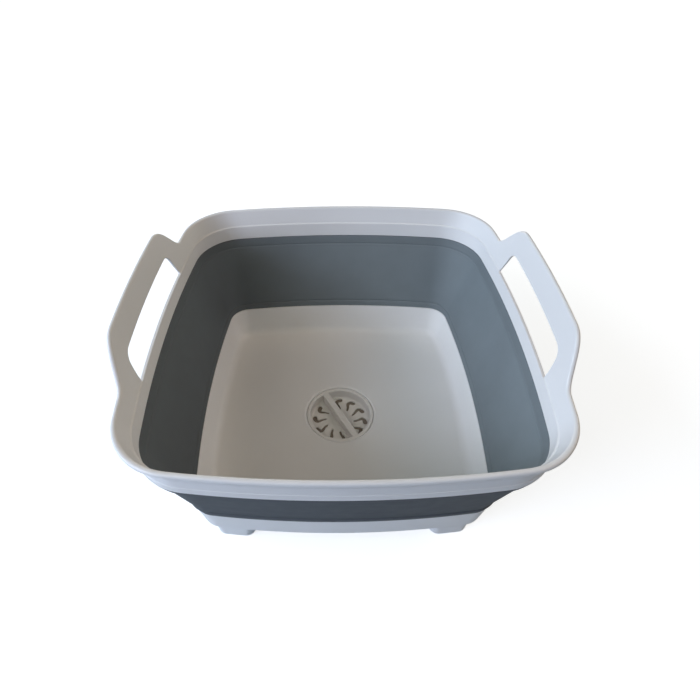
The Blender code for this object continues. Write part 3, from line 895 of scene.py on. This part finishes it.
# The grey rubber is lightened on its inner faces by painted light.
GREY_RUBBER = Finish(
    name="grey_soft_rubber", light_tone=(0.088, 0.100, 0.111), deep_tone=(0.082, 0.093, 0.103),
    roughness=0.60, grain_scale=2200.0, grain_depth=0.00008, scratch=0.15, dust=0.03, specular=0.2,
    painted_light=0.235)
STOPPER_RUBBER = Finish(
    name="stopper_soft_rubber", light_tone=(0.270, 0.232, 0.195), deep_tone=(0.240, 0.204, 0.170),
    roughness=0.58, grain_scale=2200.0, grain_depth=0.00010, scratch=0.10, dust=0.05, specular=0.4)


# The five pieces


@dataclass(frozen=True)
class RimFrame:
    """The stiff rim with its rolled lip, ledge, seam strip and two carry handles."""

    outline: PlanOutline
    levels: TubLevels
    lip_height: float = 0.0030
    lip_inside: float = 0.0020
    lip_outside: float = 0.0015
    sheet: float = 0.0021
    inner_bend: float = 0.0040
    outer_bend: float = 0.0050
    band: float = 0.0025
    band_bend: float = 0.0030
    strip_height: float = 0.0068
    proud: float = 0.00025
    rise: float = 0.0287
    crest: float = 1.7
    lean: float = math.radians(10.5)
    bend_drop: float = 0.0050
    half_length: float = 0.0941
    shoulder: float = 0.0424
    window_bottom: float = 0.0660
    window_top: float = 0.0610
    sill_drop: float = 0.0160
    head_rise: float = 0.0074
    sill_corner: float = 0.0008
    window_corner: float = 0.0099
    window_edge: float = 0.0005
    steps: tuple[int, int, int] = (44, 24, 30)
    edge_curve: tuple[tuple[float, float], ...] = (
        (-4.0, 4.6), (-0.3, 0.95), (0.1, 0.56), (0.35, 0.27), (0.65, 0.07), (1.0, 0.0))

    def handle_rise(self, turn: float) -> float:
        """Give how far the rim's edge rises into a handle.

        Args:
            turn: which way the rim faces there.

        Returns:
            The rise.
        """
        _, side_turn, _ = self.outline.corner_arc()
        if abs(math.cos(turn)) < math.cos(side_turn):
            return 0.0
        distance = self.outline.side_bow * abs(math.sin(turn))
        share = min(max((self.half_length - distance) / self.shoulder, 0.0), 1.0)
        eased = share * share * (3.0 - 2.0 * share)
        return self.rise * (1.0 - (1.0 - eased) ** self.crest)

    def section(self, turn: float) -> list[Vector]:
        """Draw the rim's section at a turn.

        Args:
            turn: which way the rim faces there.

        Returns:
            The section's points, up the inner side and down the outer side.
        """
        levels = self.levels
        rise = self.handle_rise(turn)
        shift = rise * math.tan(self.lean)
        top = levels.rim_top + rise
        bend = levels.rim_top - self.bend_drop
        outer_seam = levels.rim_seam - levels.rim_seam_lap
        strip_top = outer_seam + self.strip_height
        band_face = levels.band_inner(strip_top) - self.band
        middle = levels.wall_inner(levels.rim_seam) - levels.seam_thickness / 2.0
        return rounded((
            Corner(levels.band_inner(levels.rim_seam), levels.rim_seam, MOULDED, 4),
            Corner(levels.band_top(), levels.ledge - levels.ledge_width, FINE, 1, 2),
            Corner(levels.flare_inner(levels.ledge), levels.ledge, MOULDED, 3, 3),
            Corner(levels.flare_inner(bend), bend, self.inner_bend, 6),
            Corner(levels.lip_width - shift, top, self.lip_inside, 1, 6),
            Corner(-shift, top, self.lip_outside, 1, 6),
            Corner(-shift, top - self.lip_height, MOULDED, 1, 3),
            Corner(self.proud - shift, top - self.lip_height - self.proud, MOULDED, 6, 3),
            Corner(levels.flare_inner(bend) - self.sheet, bend, self.outer_bend, 3),
            Corner(levels.band_top() - self.band, levels.ledge, self.band_bend, 3),
            Corner(band_face, strip_top, FINE, 1, 2),
            Corner(band_face - self.proud, strip_top - self.proud, CRISP, 3, 3),
            Corner(levels.wall_inner(outer_seam) - levels.seam_thickness, outer_seam, MOULDED, 1),
            Corner(middle, outer_seam),
            Corner(middle, levels.rim_seam)), closed=True)

    def sheet_faces(self, turn: float, height: float) -> tuple[float, float]:
        """Find the outer and inner faces of the rim near a handle's window.

        Args:
            turn: which way the rim faces there.
            height: the height.

        Returns:
            The outer and the inner offset.
        """
        levels = self.levels
        bend = levels.rim_top - self.bend_drop
        start = levels.band_top() - self.band
        if height <= levels.ledge:
            return start, levels.band_inner(height)
        outer = levels.flare_inner(bend) - self.sheet
        if height <= bend:
            share = (height - levels.ledge) / (bend - levels.ledge)
            return start + (outer - start) * share, levels.flare_inner(height)
        rise = self.handle_rise(turn)
        shift = rise * math.tan(self.lean)
        share = (height - bend) / (rise + self.bend_drop)
        inner = levels.flare_inner(bend) * (1.0 - share) + (levels.lip_width - shift) * share
        return outer * (1.0 - share) + (self.proud - shift) * share, inner

    def window_tool(self, side: float) -> Object:
        """Make the tool that opens a handle's window and eases its edges.

        Args:
            side: 1.0 for the +X handle, -1.0 for the other.

        Returns:
            The tool.
        """
        sill = self.levels.rim_top - self.sill_drop
        head = self.levels.rim_top + self.head_rise
        flat = rounded((
            Corner(-self.window_bottom, sill, self.sill_corner, 30, 3),
            Corner(self.window_bottom, sill, self.sill_corner, 4, 3),
            Corner(self.window_top, head, self.window_corner, 28, 8),
            Corner(-self.window_top, head, self.window_corner, 4, 8)), closed=True)
        edge = self.window_edge
        rings = [(0, depth * edge, out * edge) for depth, out in self.edge_curve]
        rings += [(1, -depth * edge, out * edge) for depth, out in reversed(self.edge_curve)]
        flats = [grown(flat, out) for _, _, out in rings]
        sections = []
        for column in range(len(flat)):
            section = []
            for (face, depth, _), ring in zip(rings, flats):
                point = ring[column]
                turn = math.asin(point.x / self.outline.side_bow)
                plan = self.outline.point(turn, self.sheet_faces(turn, point.y)[face] + depth)
                section.append(Vector((side * plan.x, plan.y, point.y)))
            sections.append(section)
        return new_object("window_tool", wrap_grid(sections, looped=False))

    def build(self, material: Material) -> None:
        """Build the rim and put it on its body.

        Args:
            material: its finish.
        """
        turns = self.outline.turns(*self.steps)
        sections = [self.outline.stood(self.section(turn), turn) for turn in turns]
        rim = new_object("tub_rim", wrap_grid(sections, looped=True))
        work(rim, [self.window_tool(1.0), self.window_tool(-1.0)], Cut.AWAY)
        finish_piece(rim, "rim_frame", material)
        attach(rim, Body.RIM.value)


@dataclass(frozen=True)
class FoldingWall:
    """The soft wall, with its seam strips, its two fold lines and the thinner panel between."""

    outline: PlanOutline
    levels: TubLevels
    panel: float = 0.0022
    upper_strip: float = 0.0084
    lower_strip: float = 0.0065
    upper_groove: float = 0.0004
    lower_groove: float = 0.0010
    groove_width: float = 0.0024
    groove_edge: float = 0.0010
    step_height: float = 0.0010
    step_edge: float = 0.0006
    steps: tuple[int, int, int] = (30, 24, 30)

    def folds(self) -> tuple[float, float]:
        """Give the heights of the upper and the lower fold line."""
        return self.levels.rim_seam - self.upper_strip, self.levels.base_seam + self.lower_strip

    def section(self) -> list[Vector]:
        """Draw the wall's section.

        Returns:
            The section's points, down the inner side and up the outer side.
        """
        levels = self.levels
        inner = levels.wall_inner
        thick = levels.seam_thickness
        gap = levels.seam_gap
        half = self.groove_width / 2.0
        step = self.step_height / 2.0
        upper, lower = self.folds()
        top = levels.rim_seam - gap
        bottom = levels.base_seam + gap
        outer_top = levels.rim_seam - levels.rim_seam_lap - gap
        outer_bottom = levels.base_seam - levels.base_seam_lap + gap
        corners = [Corner(inner(top), top, EASED, 3)]
        for fold, pieces, deep in ((upper, 28, self.upper_groove), (lower, 3, self.lower_groove)):
            corners.append(Corner(inner(fold + half), fold + half, self.groove_edge, 1, 3))
            corners.append(Corner(inner(fold) - deep, fold, self.groove_edge, 1, 4))
            corners.append(Corner(inner(fold - half), fold - half, self.groove_edge, pieces, 3))
        corners += [
            Corner(inner(bottom), bottom, EASED),
            Corner(inner(bottom) - thick / 2.0, bottom),
            Corner(inner(bottom) - thick / 2.0, outer_bottom),
            Corner(inner(outer_bottom) - thick, outer_bottom, EASED, 3),
            Corner(inner(lower - step) - thick, lower - step, self.step_edge, 1, 3),
            Corner(inner(lower + step) - self.panel, lower + step, self.step_edge, 28, 3),
            Corner(inner(upper - step) - self.panel, upper - step, self.step_edge, 1, 3),
            Corner(inner(upper + step) - thick, upper + step, self.step_edge, 3, 3),
            Corner(inner(outer_top) - thick, outer_top, EASED),
            Corner(inner(top) - thick / 2.0, outer_top),
            Corner(inner(top) - thick / 2.0, top)]
        return rounded(corners, closed=True)

    def build(self, material: Material) -> None:
        """Build the wall between the base pan and the rim.

        Args:
            material: its finish.
        """
        section = self.section()
        sections = [self.outline.stood(section, turn) for turn in self.outline.turns(*self.steps)]
        wall = new_object("tub_wall", wrap_grid(sections, looped=True))
        finish_piece(wall, "fold_wall", material)
        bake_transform(wall)


@dataclass(frozen=True)
class DrainWell:
    """The sizes of the drain well, which the base pan, the strainer and the stopper share."""

    recess: float = 0.0337
    chamfer_width: float = 0.0020
    chamfer_depth: float = 0.0008
    seat: float = 0.0166
    radius: float = 0.0312
    floor: float = 0.0050
    bottom: float = 0.0032
    wall: float = 0.0020
    outlet: float = 0.0290


@dataclass(frozen=True)
class BasePan:
    """The base pan with its low wall, floor, drain well and four feet."""

    outline: PlanOutline
    levels: TubLevels
    well: DrainWell
    thickness: float = 0.0031
    floor_fillet: float = 0.0080
    bottom_fillet: float = 0.0100
    fillet_run: float = 1.15
    well_edge: float = 0.0010
    chamfer_edge: float = 0.0006
    collar_edge: float = 0.0008
    well_skirt: float = 0.0030
    floor_rings: int = 7
    foot_x: float = 0.0890
    foot_front: float = 0.1174
    foot_top: float = 0.0360
    foot_width: float = 0.0328
    foot_toe: float = 0.0012
    foot_depth: float = 0.0330
    foot_corner: float = 0.0080
    foot_sole: float = 0.0010
    foot_clear: float = 0.0003
    steps: tuple[int, int, int] = (26, 18, 26)

    def wall_section(self) -> list[Vector]:
        """Draw the pan's wall.

        Returns:
            The section's points, from its underside over the seam to its floor.
        """
        levels = self.levels
        outer_seam = levels.base_seam - levels.base_seam_lap
        outer_floor = levels.base_inner(levels.foot_height) - self.thickness
        inner_floor = levels.base_inner(levels.floor)
        middle = levels.wall_inner(levels.base_seam) - levels.seam_thickness / 2.0
        return rounded((
            Corner(outer_floor + self.bottom_fillet * self.fillet_run, levels.foot_height),
            Corner(outer_floor, levels.foot_height, self.bottom_fillet, 5, 9),
            Corner(levels.base_inner(outer_seam) - self.thickness, outer_seam, MOULDED),
            Corner(middle, outer_seam), Corner(middle, levels.base_seam),
            Corner(levels.wall_inner(levels.base_seam), levels.base_seam, MOULDED, 5),
            Corner(inner_floor, levels.floor, self.floor_fillet, 1, 9),
            Corner(inner_floor + self.floor_fillet * self.fillet_run, levels.floor)), closed=False)

    def well_section(self) -> list[Vector]:
        """Draw the drain well.

        Returns:
            The section's points, from the floor's edge down through the outlet and up outside.
        """
        well = self.well
        floor = self.levels.floor
        body = well.radius + well.wall
        collar = well.recess + well.wall
        step = well.seat - well.wall
        return rounded((
            Corner(well.recess + well.chamfer_width * 2.0, floor),
            Corner(well.recess + well.chamfer_width, floor, self.well_edge, 1, 3),
            Corner(well.recess, floor - well.chamfer_depth, self.chamfer_edge, 1, 4),
            Corner(well.recess, well.seat, CRISP, 1, 2),
            Corner(well.radius, well.seat, MOULDED, 3, 3),
            Corner(well.radius, well.floor, self.well_edge, 2, 3),
            Corner(well.outlet, well.floor, MOULDED, 1, 3),
            Corner(well.outlet, well.bottom, MOULDED, 2, 3),
            Corner(body, well.bottom, self.well_edge, 3, 3),
            Corner(body, step - (collar - body), EASED, 1, 2),
            Corner(collar, step, EASED, 1, 2),
            Corner(collar, self.levels.foot_height, self.collar_edge, 1, 3),
            Corner(collar + self.well_skirt, self.levels.foot_height)), closed=False)

    def ring(self, turn: float, wall: Sequence[Vector], well: Sequence[Vector]) -> list[Vector]:
        """Draw the pan's whole section at a turn, from its wall through its well and back.

        Args:
            turn: which way the wall faces there.
            wall: the wall's section.
            well: the drain well's section.

        Returns:
            The points in space.
        """
        outer = self.outline.stood(wall, turn)
        spoke = self.outline.point(turn, wall[0].x).normalized()
        inner = [Vector((*(spoke * point.x), point.y)) for point in well]
        shares = [(step + 1) / (self.floor_rings + 1) for step in range(self.floor_rings)]
        floor = [outer[-1].lerp(inner[0], share) for share in shares]
        under = [inner[-1].lerp(outer[0], share) for share in shares]
        return outer + floor + inner + under

    def foot_tool(self, side: float, end: float) -> Object:
        """Make one foot, tapered down to the ground with its edges eased.

        Args:
            side: 1.0 for +X, -1.0 for -X.
            end: 1.0 for the back, -1.0 for the front.

        Returns:
            The foot, where it stands.
        """
        mesh = bmesh.new()
        top = self.levels.floor - self.foot_clear
        for vert in bmesh.ops.create_cube(mesh, size=1.0)["verts"]:
            x, y, z = vert.co
            if z > 0.0:
                vert.co = (x * self.foot_top, y * self.foot_top, top)
            else:
                vert.co = (x * self.foot_width + side * self.foot_toe, y * self.foot_depth, 0.0)
        upright = [edge for edge in mesh.edges if abs(edge.verts[0].co.z - edge.verts[1].co.z) > top / 2.0]
        ease(mesh, upright, self.foot_corner, 8)
        low = [edge for edge in mesh.edges if all(vert.co.z < MERGE for vert in edge.verts)]
        ease(mesh, low, self.foot_sole, 4)
        turn_mesh(mesh, -side * end * math.asin(self.foot_x / self.outline.end_bow))
        middle = (side * self.foot_x, end * (self.foot_front - self.foot_top / 2.0), 0.0)
        bmesh.ops.translate(mesh, verts=mesh.verts[:], vec=middle)
        return new_object("foot", mesh)

    def build(self, material: Material) -> None:
        """Build the pan and put it on its body.

        Args:
            material: its finish.
        """
        wall, well = self.wall_section(), self.well_section()
        sections = [self.ring(turn, wall, well) for turn in self.outline.turns(*self.steps)]
        pan = new_object("tub_base", wrap_grid(sections, looped=True))
        work(pan, [self.foot_tool(side, end) for side in (-1.0, 1.0) for end in (-1.0, 1.0)], Cut.JOIN)
        finish_piece(pan, "base_pan", material)
        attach(pan, Body.BASE.value)


@dataclass(frozen=True)
class DrainStrainer:
    """The loose strainer: a flanged dish with a grip bar and two fans of hooked slots."""

    well: DrainWell
    flange_clearance: float = 0.0006
    flange: float = 0.0014
    flange_edge: float = 0.0007
    seat_gap: float = 0.0003
    cup_clearance: float = 0.0004
    cup_wall: float = 0.0010
    depth: float = 0.0107
    thickness: float = 0.0015
    fillet: float = 0.0024
    grip_width: float = 0.0064
    grip_edge: float = 0.0009
    grip_drop: float = 0.0002
    grip_turn: float = math.radians(119.0)
    segments: int = 120
    slots_each_side: int = 5
    slot_pitch: float = math.radians(31.7)
    slot_lag: float = math.radians(2.5)
    slot_edge: float = 0.0002
    slot_edge_curve: tuple[tuple[float, float], ...] = ((-1.0, 0.0), (-0.4, 0.25), (-0.05, 0.7), (1.0, 1.6))
    slot_overcut: float = 0.0010
    slot_path: tuple[tuple[float, float, float], ...] = (
        (0.0145, 0.0, 0.0021), (0.0175, 3.0, 0.0024), (0.0203, 7.0, 0.0030),
        (0.0228, 8.5, 0.0037), (0.0247, 5.0, 0.0043), (0.0257, -1.5, 0.0048))

    def top(self) -> float:
        """Give the height of the flange's top."""
        return self.well.seat + self.seat_gap + self.flange

    def floor(self) -> float:
        """Give the height of the dish's floor."""
        return self.top() - self.depth

    def profile(self) -> list[Vector]:
        """Draw half of the dish.

        Returns:
            The profile, from the middle of its floor round to the middle below.
        """
        cup = self.well.radius - self.cup_clearance
        inside = cup - self.cup_wall
        rim = self.well.recess - self.flange_clearance
        top = self.top()
        low = self.floor() - self.thickness
        return rounded((
            Corner(0.0, self.floor(), 0.0, 9), Corner(inside, self.floor(), self.fillet, 4, 5),
            Corner(inside, top, EASED, 1, 3), Corner(rim, top, self.flange_edge, 1, 4),
            Corner(rim, top - self.flange, CRISP, 1, 2), Corner(cup, top - self.flange, FINE, 3, 2),
            Corner(cup, low, self.fillet, 9, 4), Corner(0.0, low)), closed=False)

    def slot_tool(self, start: float) -> Object:
        """Make the tool for one slot, a thin tail that bends back into a wide round head.

        Args:
            start: the angle of the slot's tail.

        Returns:
            The tool, which eases the slot's upper edge.
        """
        line = smooth_line([Vector(point) for point in self.slot_path], 4)
        middle = []
        for radius, degrees, _ in line:
            angle = start + math.radians(degrees)
            middle.append(Vector((radius * math.cos(angle), radius * math.sin(angle))))
        left, right = [], []
        last = len(middle) - 1
        for index, point in enumerate(middle):
            forward = (middle[min(index + 1, last)] - middle[max(index - 1, 0)]).normalized()
            sideways = Vector((-forward.y, forward.x)) * line[index].z / 2.0
            left.append(point + sideways)
            right.append(point - sideways)
        head = half_circle(middle[-1], right[-1], 8)
        tail = half_circle(middle[0], left[0], 5)
        top = self.floor()
        levels = [(top - self.thickness - self.slot_overcut, 0.0)]
        levels += [(top + up * self.slot_edge, out * self.slot_edge) for up, out in self.slot_edge_curve]
        return stacked("slot_tool", right + head + left[::-1] + tail, levels)

    def grip_tool(self) -> Object:
        """Make the grip bar across the dish.

        Returns:
            The bar, with its top edges eased.
        """
        half = self.well.radius - self.cup_clearance - self.cup_wall / 2.0
        high = self.top() - self.grip_drop
        mesh = block(2.0 * half, self.grip_width, self.floor() - self.thickness / 2.0, high)
        upper = [edge for edge in mesh.edges
                 if all(vert.co.z > high - MERGE for vert in edge.verts)
                 and abs(edge.verts[0].co.x - edge.verts[1].co.x) > half]
        ease(mesh, upper, self.grip_edge, 5)
        turn_mesh(mesh, self.grip_turn)
        return new_object("grip_tool", mesh)

    def build(self, material: Material) -> None:
        """Build the strainer and put it on its body.

        Args:
            material: its finish.
        """
        dish = new_object("drain_strainer_dish", turned(self.profile(), self.segments))
        tools = []
        for side in (-1.0, 1.0):
            for index in range(self.slots_each_side):
                away = (index - (self.slots_each_side - 1) / 2.0) * self.slot_pitch
                tools.append(self.slot_tool(self.grip_turn + side * math.pi / 2.0 + away - self.slot_lag))
        work(dish, tools, Cut.AWAY)
        work(dish, [self.grip_tool()], Cut.JOIN)
        finish_piece(dish, "strainer", material)
        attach(dish, Body.STRAINER.value)


@dataclass(frozen=True)
class DrainStopper:
    """The soft stopper: a hollow plug with a flange and a pull tab."""

    well: DrainWell
    gap: float = 0.0003
    plug_height: float = 0.0026
    plug_edge: float = 0.0007
    taper: float = 0.0004
    plug_wall: float = 0.0025
    plug_top: float = 0.0018
    hollow_edge: float = 0.0006
    flange_width: float = 0.0042
    flange: float = 0.0022
    tab_length: float = 0.0133
    tab_width: float = 0.0140
    tab_ease: float = 0.00015
    bead: float = 0.0010
    bead_edge: float = 0.6
    segments: int = 96

    def top(self) -> float:
        """Give the height of the flange's top."""
        return self.well.bottom - self.gap

    def profile(self) -> list[Vector]:
        """Draw half of the plug.

        Returns:
            The profile, from the middle of its top round to the middle of its hollow.
        """
        top = self.top()
        low = top - self.flange
        plug = self.well.outlet - self.gap
        hollow = plug - self.plug_wall
        edge = self.well.outlet + self.flange_width
        crown = top + self.plug_height
        roof = crown - self.plug_top
        return rounded((
            Corner(0.0, crown, 0.0, 6), Corner(plug - self.taper, crown, self.plug_edge, 1, 4),
            Corner(plug, top, CRISP, 1, 2), Corner(edge, top, EASED, 1, 4),
            Corner(edge, low, EASED, 1, 4), Corner(hollow, low, EASED, 1, 3),
            Corner(hollow - self.taper, roof, self.hollow_edge, 6, 3), Corner(0.0, roof)), closed=False)

    def tab_tool(self) -> Object:
        """Make the pull tab.

        Returns:
            The tab, a round-ended strip with its edges eased.
        """
        top = self.top()
        low = top - self.flange
        half = self.tab_width / 2.0
        middle = self.well.outlet + self.flange_width + self.tab_length - half
        flat = [Vector((self.well.outlet, -half))]
        flat += [Vector((middle + half * math.cos(angle), half * math.sin(angle)))
                 for angle in (math.pi * (step / 20.0 - 0.5) for step in range(21))]
        flat.append(Vector((self.well.outlet, half)))
        ease_in = self.tab_ease
        return stacked("tab_tool", flat, (
            (low, -EASED), (low + ease_in, -ease_in), (low + EASED, 0.0),
            (top - EASED, 0.0), (top - ease_in, -ease_in), (top, -EASED)))

    def bead_tool(self) -> Object:
        """Make the raised bead across the tab.

        Returns:
            The bead, with its edges eased.
        """
        top = self.top()
        near = self.well.radius + self.well.wall + self.bead * 2.0
        mesh = block(self.bead * 2.0, self.tab_width / 2.0, top - self.bead, top + self.bead)
        bmesh.ops.translate(mesh, verts=mesh.verts[:], vec=(near + self.bead, 0.0, 0.0))
        ease(mesh, mesh.edges[:], self.bead * self.bead_edge, 4)
        return new_object("bead_tool", mesh)

    def build(self, material: Material) -> None:
        """Build the stopper and put it on its body.

        Args:
            material: its finish.
        """
        plug = new_object("drain_plug", turned(self.profile(), self.segments))
        work(plug, [self.tab_tool(), self.bead_tool()], Cut.JOIN)
        finish_piece(plug, "drain_stopper", material)
        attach(plug, Body.STOPPER.value)


# Studio


@dataclass(frozen=True)
class SoftLight:
    """A soft box: its name, strength, tint, place, what it points at and its size."""

    name: str
    power: float
    tint: Colour
    place: Point
    target: Point = (0.0, 0.0, 0.10)
    size: float = 0.9

    def build(self) -> None:
        """Hang the light and point it."""
        data = bpy.data.lights.new(self.name, "AREA")
        data.shape = "SQUARE"
        data.size = self.size
        data.energy = self.power
        data.color = self.tint
        lamp = linked(self.name, data)
        lamp.location = self.place
        lamp.rotation_euler = (Vector(self.target) - Vector(self.place)).to_track_quat("-Z", "Y").to_euler()


LIGHTS = (
    SoftLight("window", 29.4, (0.69, 0.78, 1.00), (-1.570, -0.906, 0.945)),
    SoftLight("window_side", 14.0, (0.71, 0.90, 0.98), (-1.813, 0.000, 0.945)),
    SoftLight("window_head", 7.2, (1.00, 0.92, 0.86), (-1.144, -0.831, 1.514)),
    SoftLight("room_high", 6.6, (1.00, 0.72, 0.59), (1.414, 0.000, 1.514)),
    SoftLight("room_low", 6.9, (1.00, 0.96, 0.77), (1.660, 0.950, 0.680)),
    SoftLight("ceiling", 4.4, (1.00, 1.00, 0.78), (0.598, -0.598, 1.913)),
    SoftLight("behind", 9.0, (1.00, 0.95, 0.90), (-0.300, 1.880, 0.620)))


@dataclass(frozen=True)
class Studio:
    """The floor, the lights, the world and the camera; focal length and centre are in pixels."""

    rim_top: float
    world_strength: float = 0.03
    floor_half: float = 7.0
    floor_tone: Colour = (0.45, 0.50, 0.55)
    floor_roughness: float = 0.9
    floor_specular: float = 0.1
    glow_reach: tuple[float, float] = (0.35, 1.1)
    glow: tuple[float, float] = (0.72, 1.0)
    mirrored_glow: float = 0.15
    sensor: float = 36.0
    clip: tuple[float, float] = (0.01, 50.0)
    photo: float = 700.0
    focal: float = 488.914
    centre: tuple[float, float] = (332.846, 347.152)
    yaw: float = -0.006557
    pitch: float = 0.78224
    roll: float = -0.002885
    eye: Point = (-0.007098, -0.301306, 0.25181)

    def floor(self) -> None:
        """Lay the pale floor, which shows white except in the tub's shadow.

        It can't be seen from below, so that the underside of the tub can.
        """
        mesh = bmesh.new()
        bmesh.ops.create_grid(mesh, x_segments=8, y_segments=8, size=self.floor_half)
        floor = new_object("studio_floor", mesh)
        sheet = MaterialSheet("studio_floor")
        shader = sheet.shader.inputs
        shader["Base Color"].default_value = (*self.floor_tone, 1.0)
        shader["Roughness"].default_value = self.floor_roughness
        shader["Specular IOR Level"].default_value = self.floor_specular
        path = sheet.add("ShaderNodeLightPath").outputs
        mirrored = sheet.reckon("MAXIMUM", path["Is Glossy Ray"], path["Is Transmission Ray"])
        seen = sheet.reckon("MAXIMUM", path["Is Camera Ray"], sheet.product(mirrored, self.mirrored_glow))
        place = sheet.add("ShaderNodeTexCoord").outputs["Object"]
        away = sheet.vectors("LENGTH", place).outputs["Value"]
        level = sheet.span(away, self.glow_reach, self.glow)
        glow = sheet.add("ShaderNodeEmission", Color=(1.0, 1.0, 1.0, 1.0),
                         Strength=sheet.product(seen, level))
        lit = sheet.add("ShaderNodeAddShader")
        sheet.put(lit.inputs[0], sheet.shader.outputs["BSDF"])
        sheet.put(lit.inputs[1], glow.outputs["Emission"])
        below = sheet.add("ShaderNodeNewGeometry").outputs["Backfacing"]
        shown = sheet.add("ShaderNodeMixShader", Fac=below)
        sheet.put(shown.inputs[1], lit.outputs["Shader"])
        sheet.put(shown.inputs[2], sheet.add("ShaderNodeBsdfTransparent").outputs["BSDF"])
        surface = sheet.tree.nodes["Material Output"].inputs["Surface"]
        sheet.put(surface, shown.outputs["Shader"])
        floor.data.materials.append(sheet.material)

    def world(self) -> None:
        """Set an even world that shows white behind the tub."""
        world = bpy.data.worlds.new("studio_world")
        world.use_nodes = True
        bpy.context.scene.world = world
        sheet = NodeSheet(world.node_tree)
        back = world.node_tree.nodes["Background"]
        back.inputs["Color"].default_value = (1.0, 1.0, 1.0, 1.0)
        seen = sheet.add("ShaderNodeLightPath").outputs["Is Camera Ray"]
        sheet.put(back.inputs["Strength"], sheet.span(seen, (0.0, 1.0), (self.world_strength, 1.0)))

    def camera(self) -> None:
        """Set the camera where the photograph was taken from."""
        half = self.photo / 2.0
        data = bpy.data.cameras.new("photo_camera")
        data.sensor_width = self.sensor
        data.lens = self.focal * self.sensor / self.photo
        data.shift_x = (half - self.centre[0]) / self.photo
        data.shift_y = (self.centre[1] - half) / self.photo
        data.clip_start, data.clip_end = self.clip
        camera = linked("photo_camera", data)
        turn = Matrix.Rotation(self.yaw, 4, "Z")
        tilt = Matrix.Rotation(math.pi / 2.0 - self.pitch, 4, "X")
        roll = Matrix.Rotation(self.roll, 4, "Z")
        place = turn @ (Vector(self.eye) + Vector((0.0, 0.0, self.rim_top)))
        camera.matrix_world = Matrix.Translation(place) @ turn @ tilt @ roll
        bpy.context.scene.camera = camera

    def build(self) -> None:
        """Set the whole stage."""
        self.floor()
        self.world()
        for light in LIGHTS:
            light.build()
        self.camera()
        bpy.context.scene.view_settings.view_transform = "Standard"


def main() -> None:
    """Build the tub piece by piece, then the stage round it."""
    logging.basicConfig(level=logging.INFO, format="%(name)s: %(message)s")
    outline = PlanOutline()
    levels = TubLevels()
    well = DrainWell()
    effects = SharedEffects()
    RimFrame(outline, levels).build(WHITE_PLASTIC.material(effects))
    FoldingWall(outline, levels).build(GREY_RUBBER.material(effects))
    BasePan(outline, levels, well).build(LIT_BASE_PLASTIC.material(effects))
    DrainStrainer(well).build(SHADED_STRAINER_PLASTIC.material(effects))
    DrainStopper(well).build(STOPPER_RUBBER.material(effects))
    Studio(levels.rim_top).build()


if __name__ == "__main__":
    main()
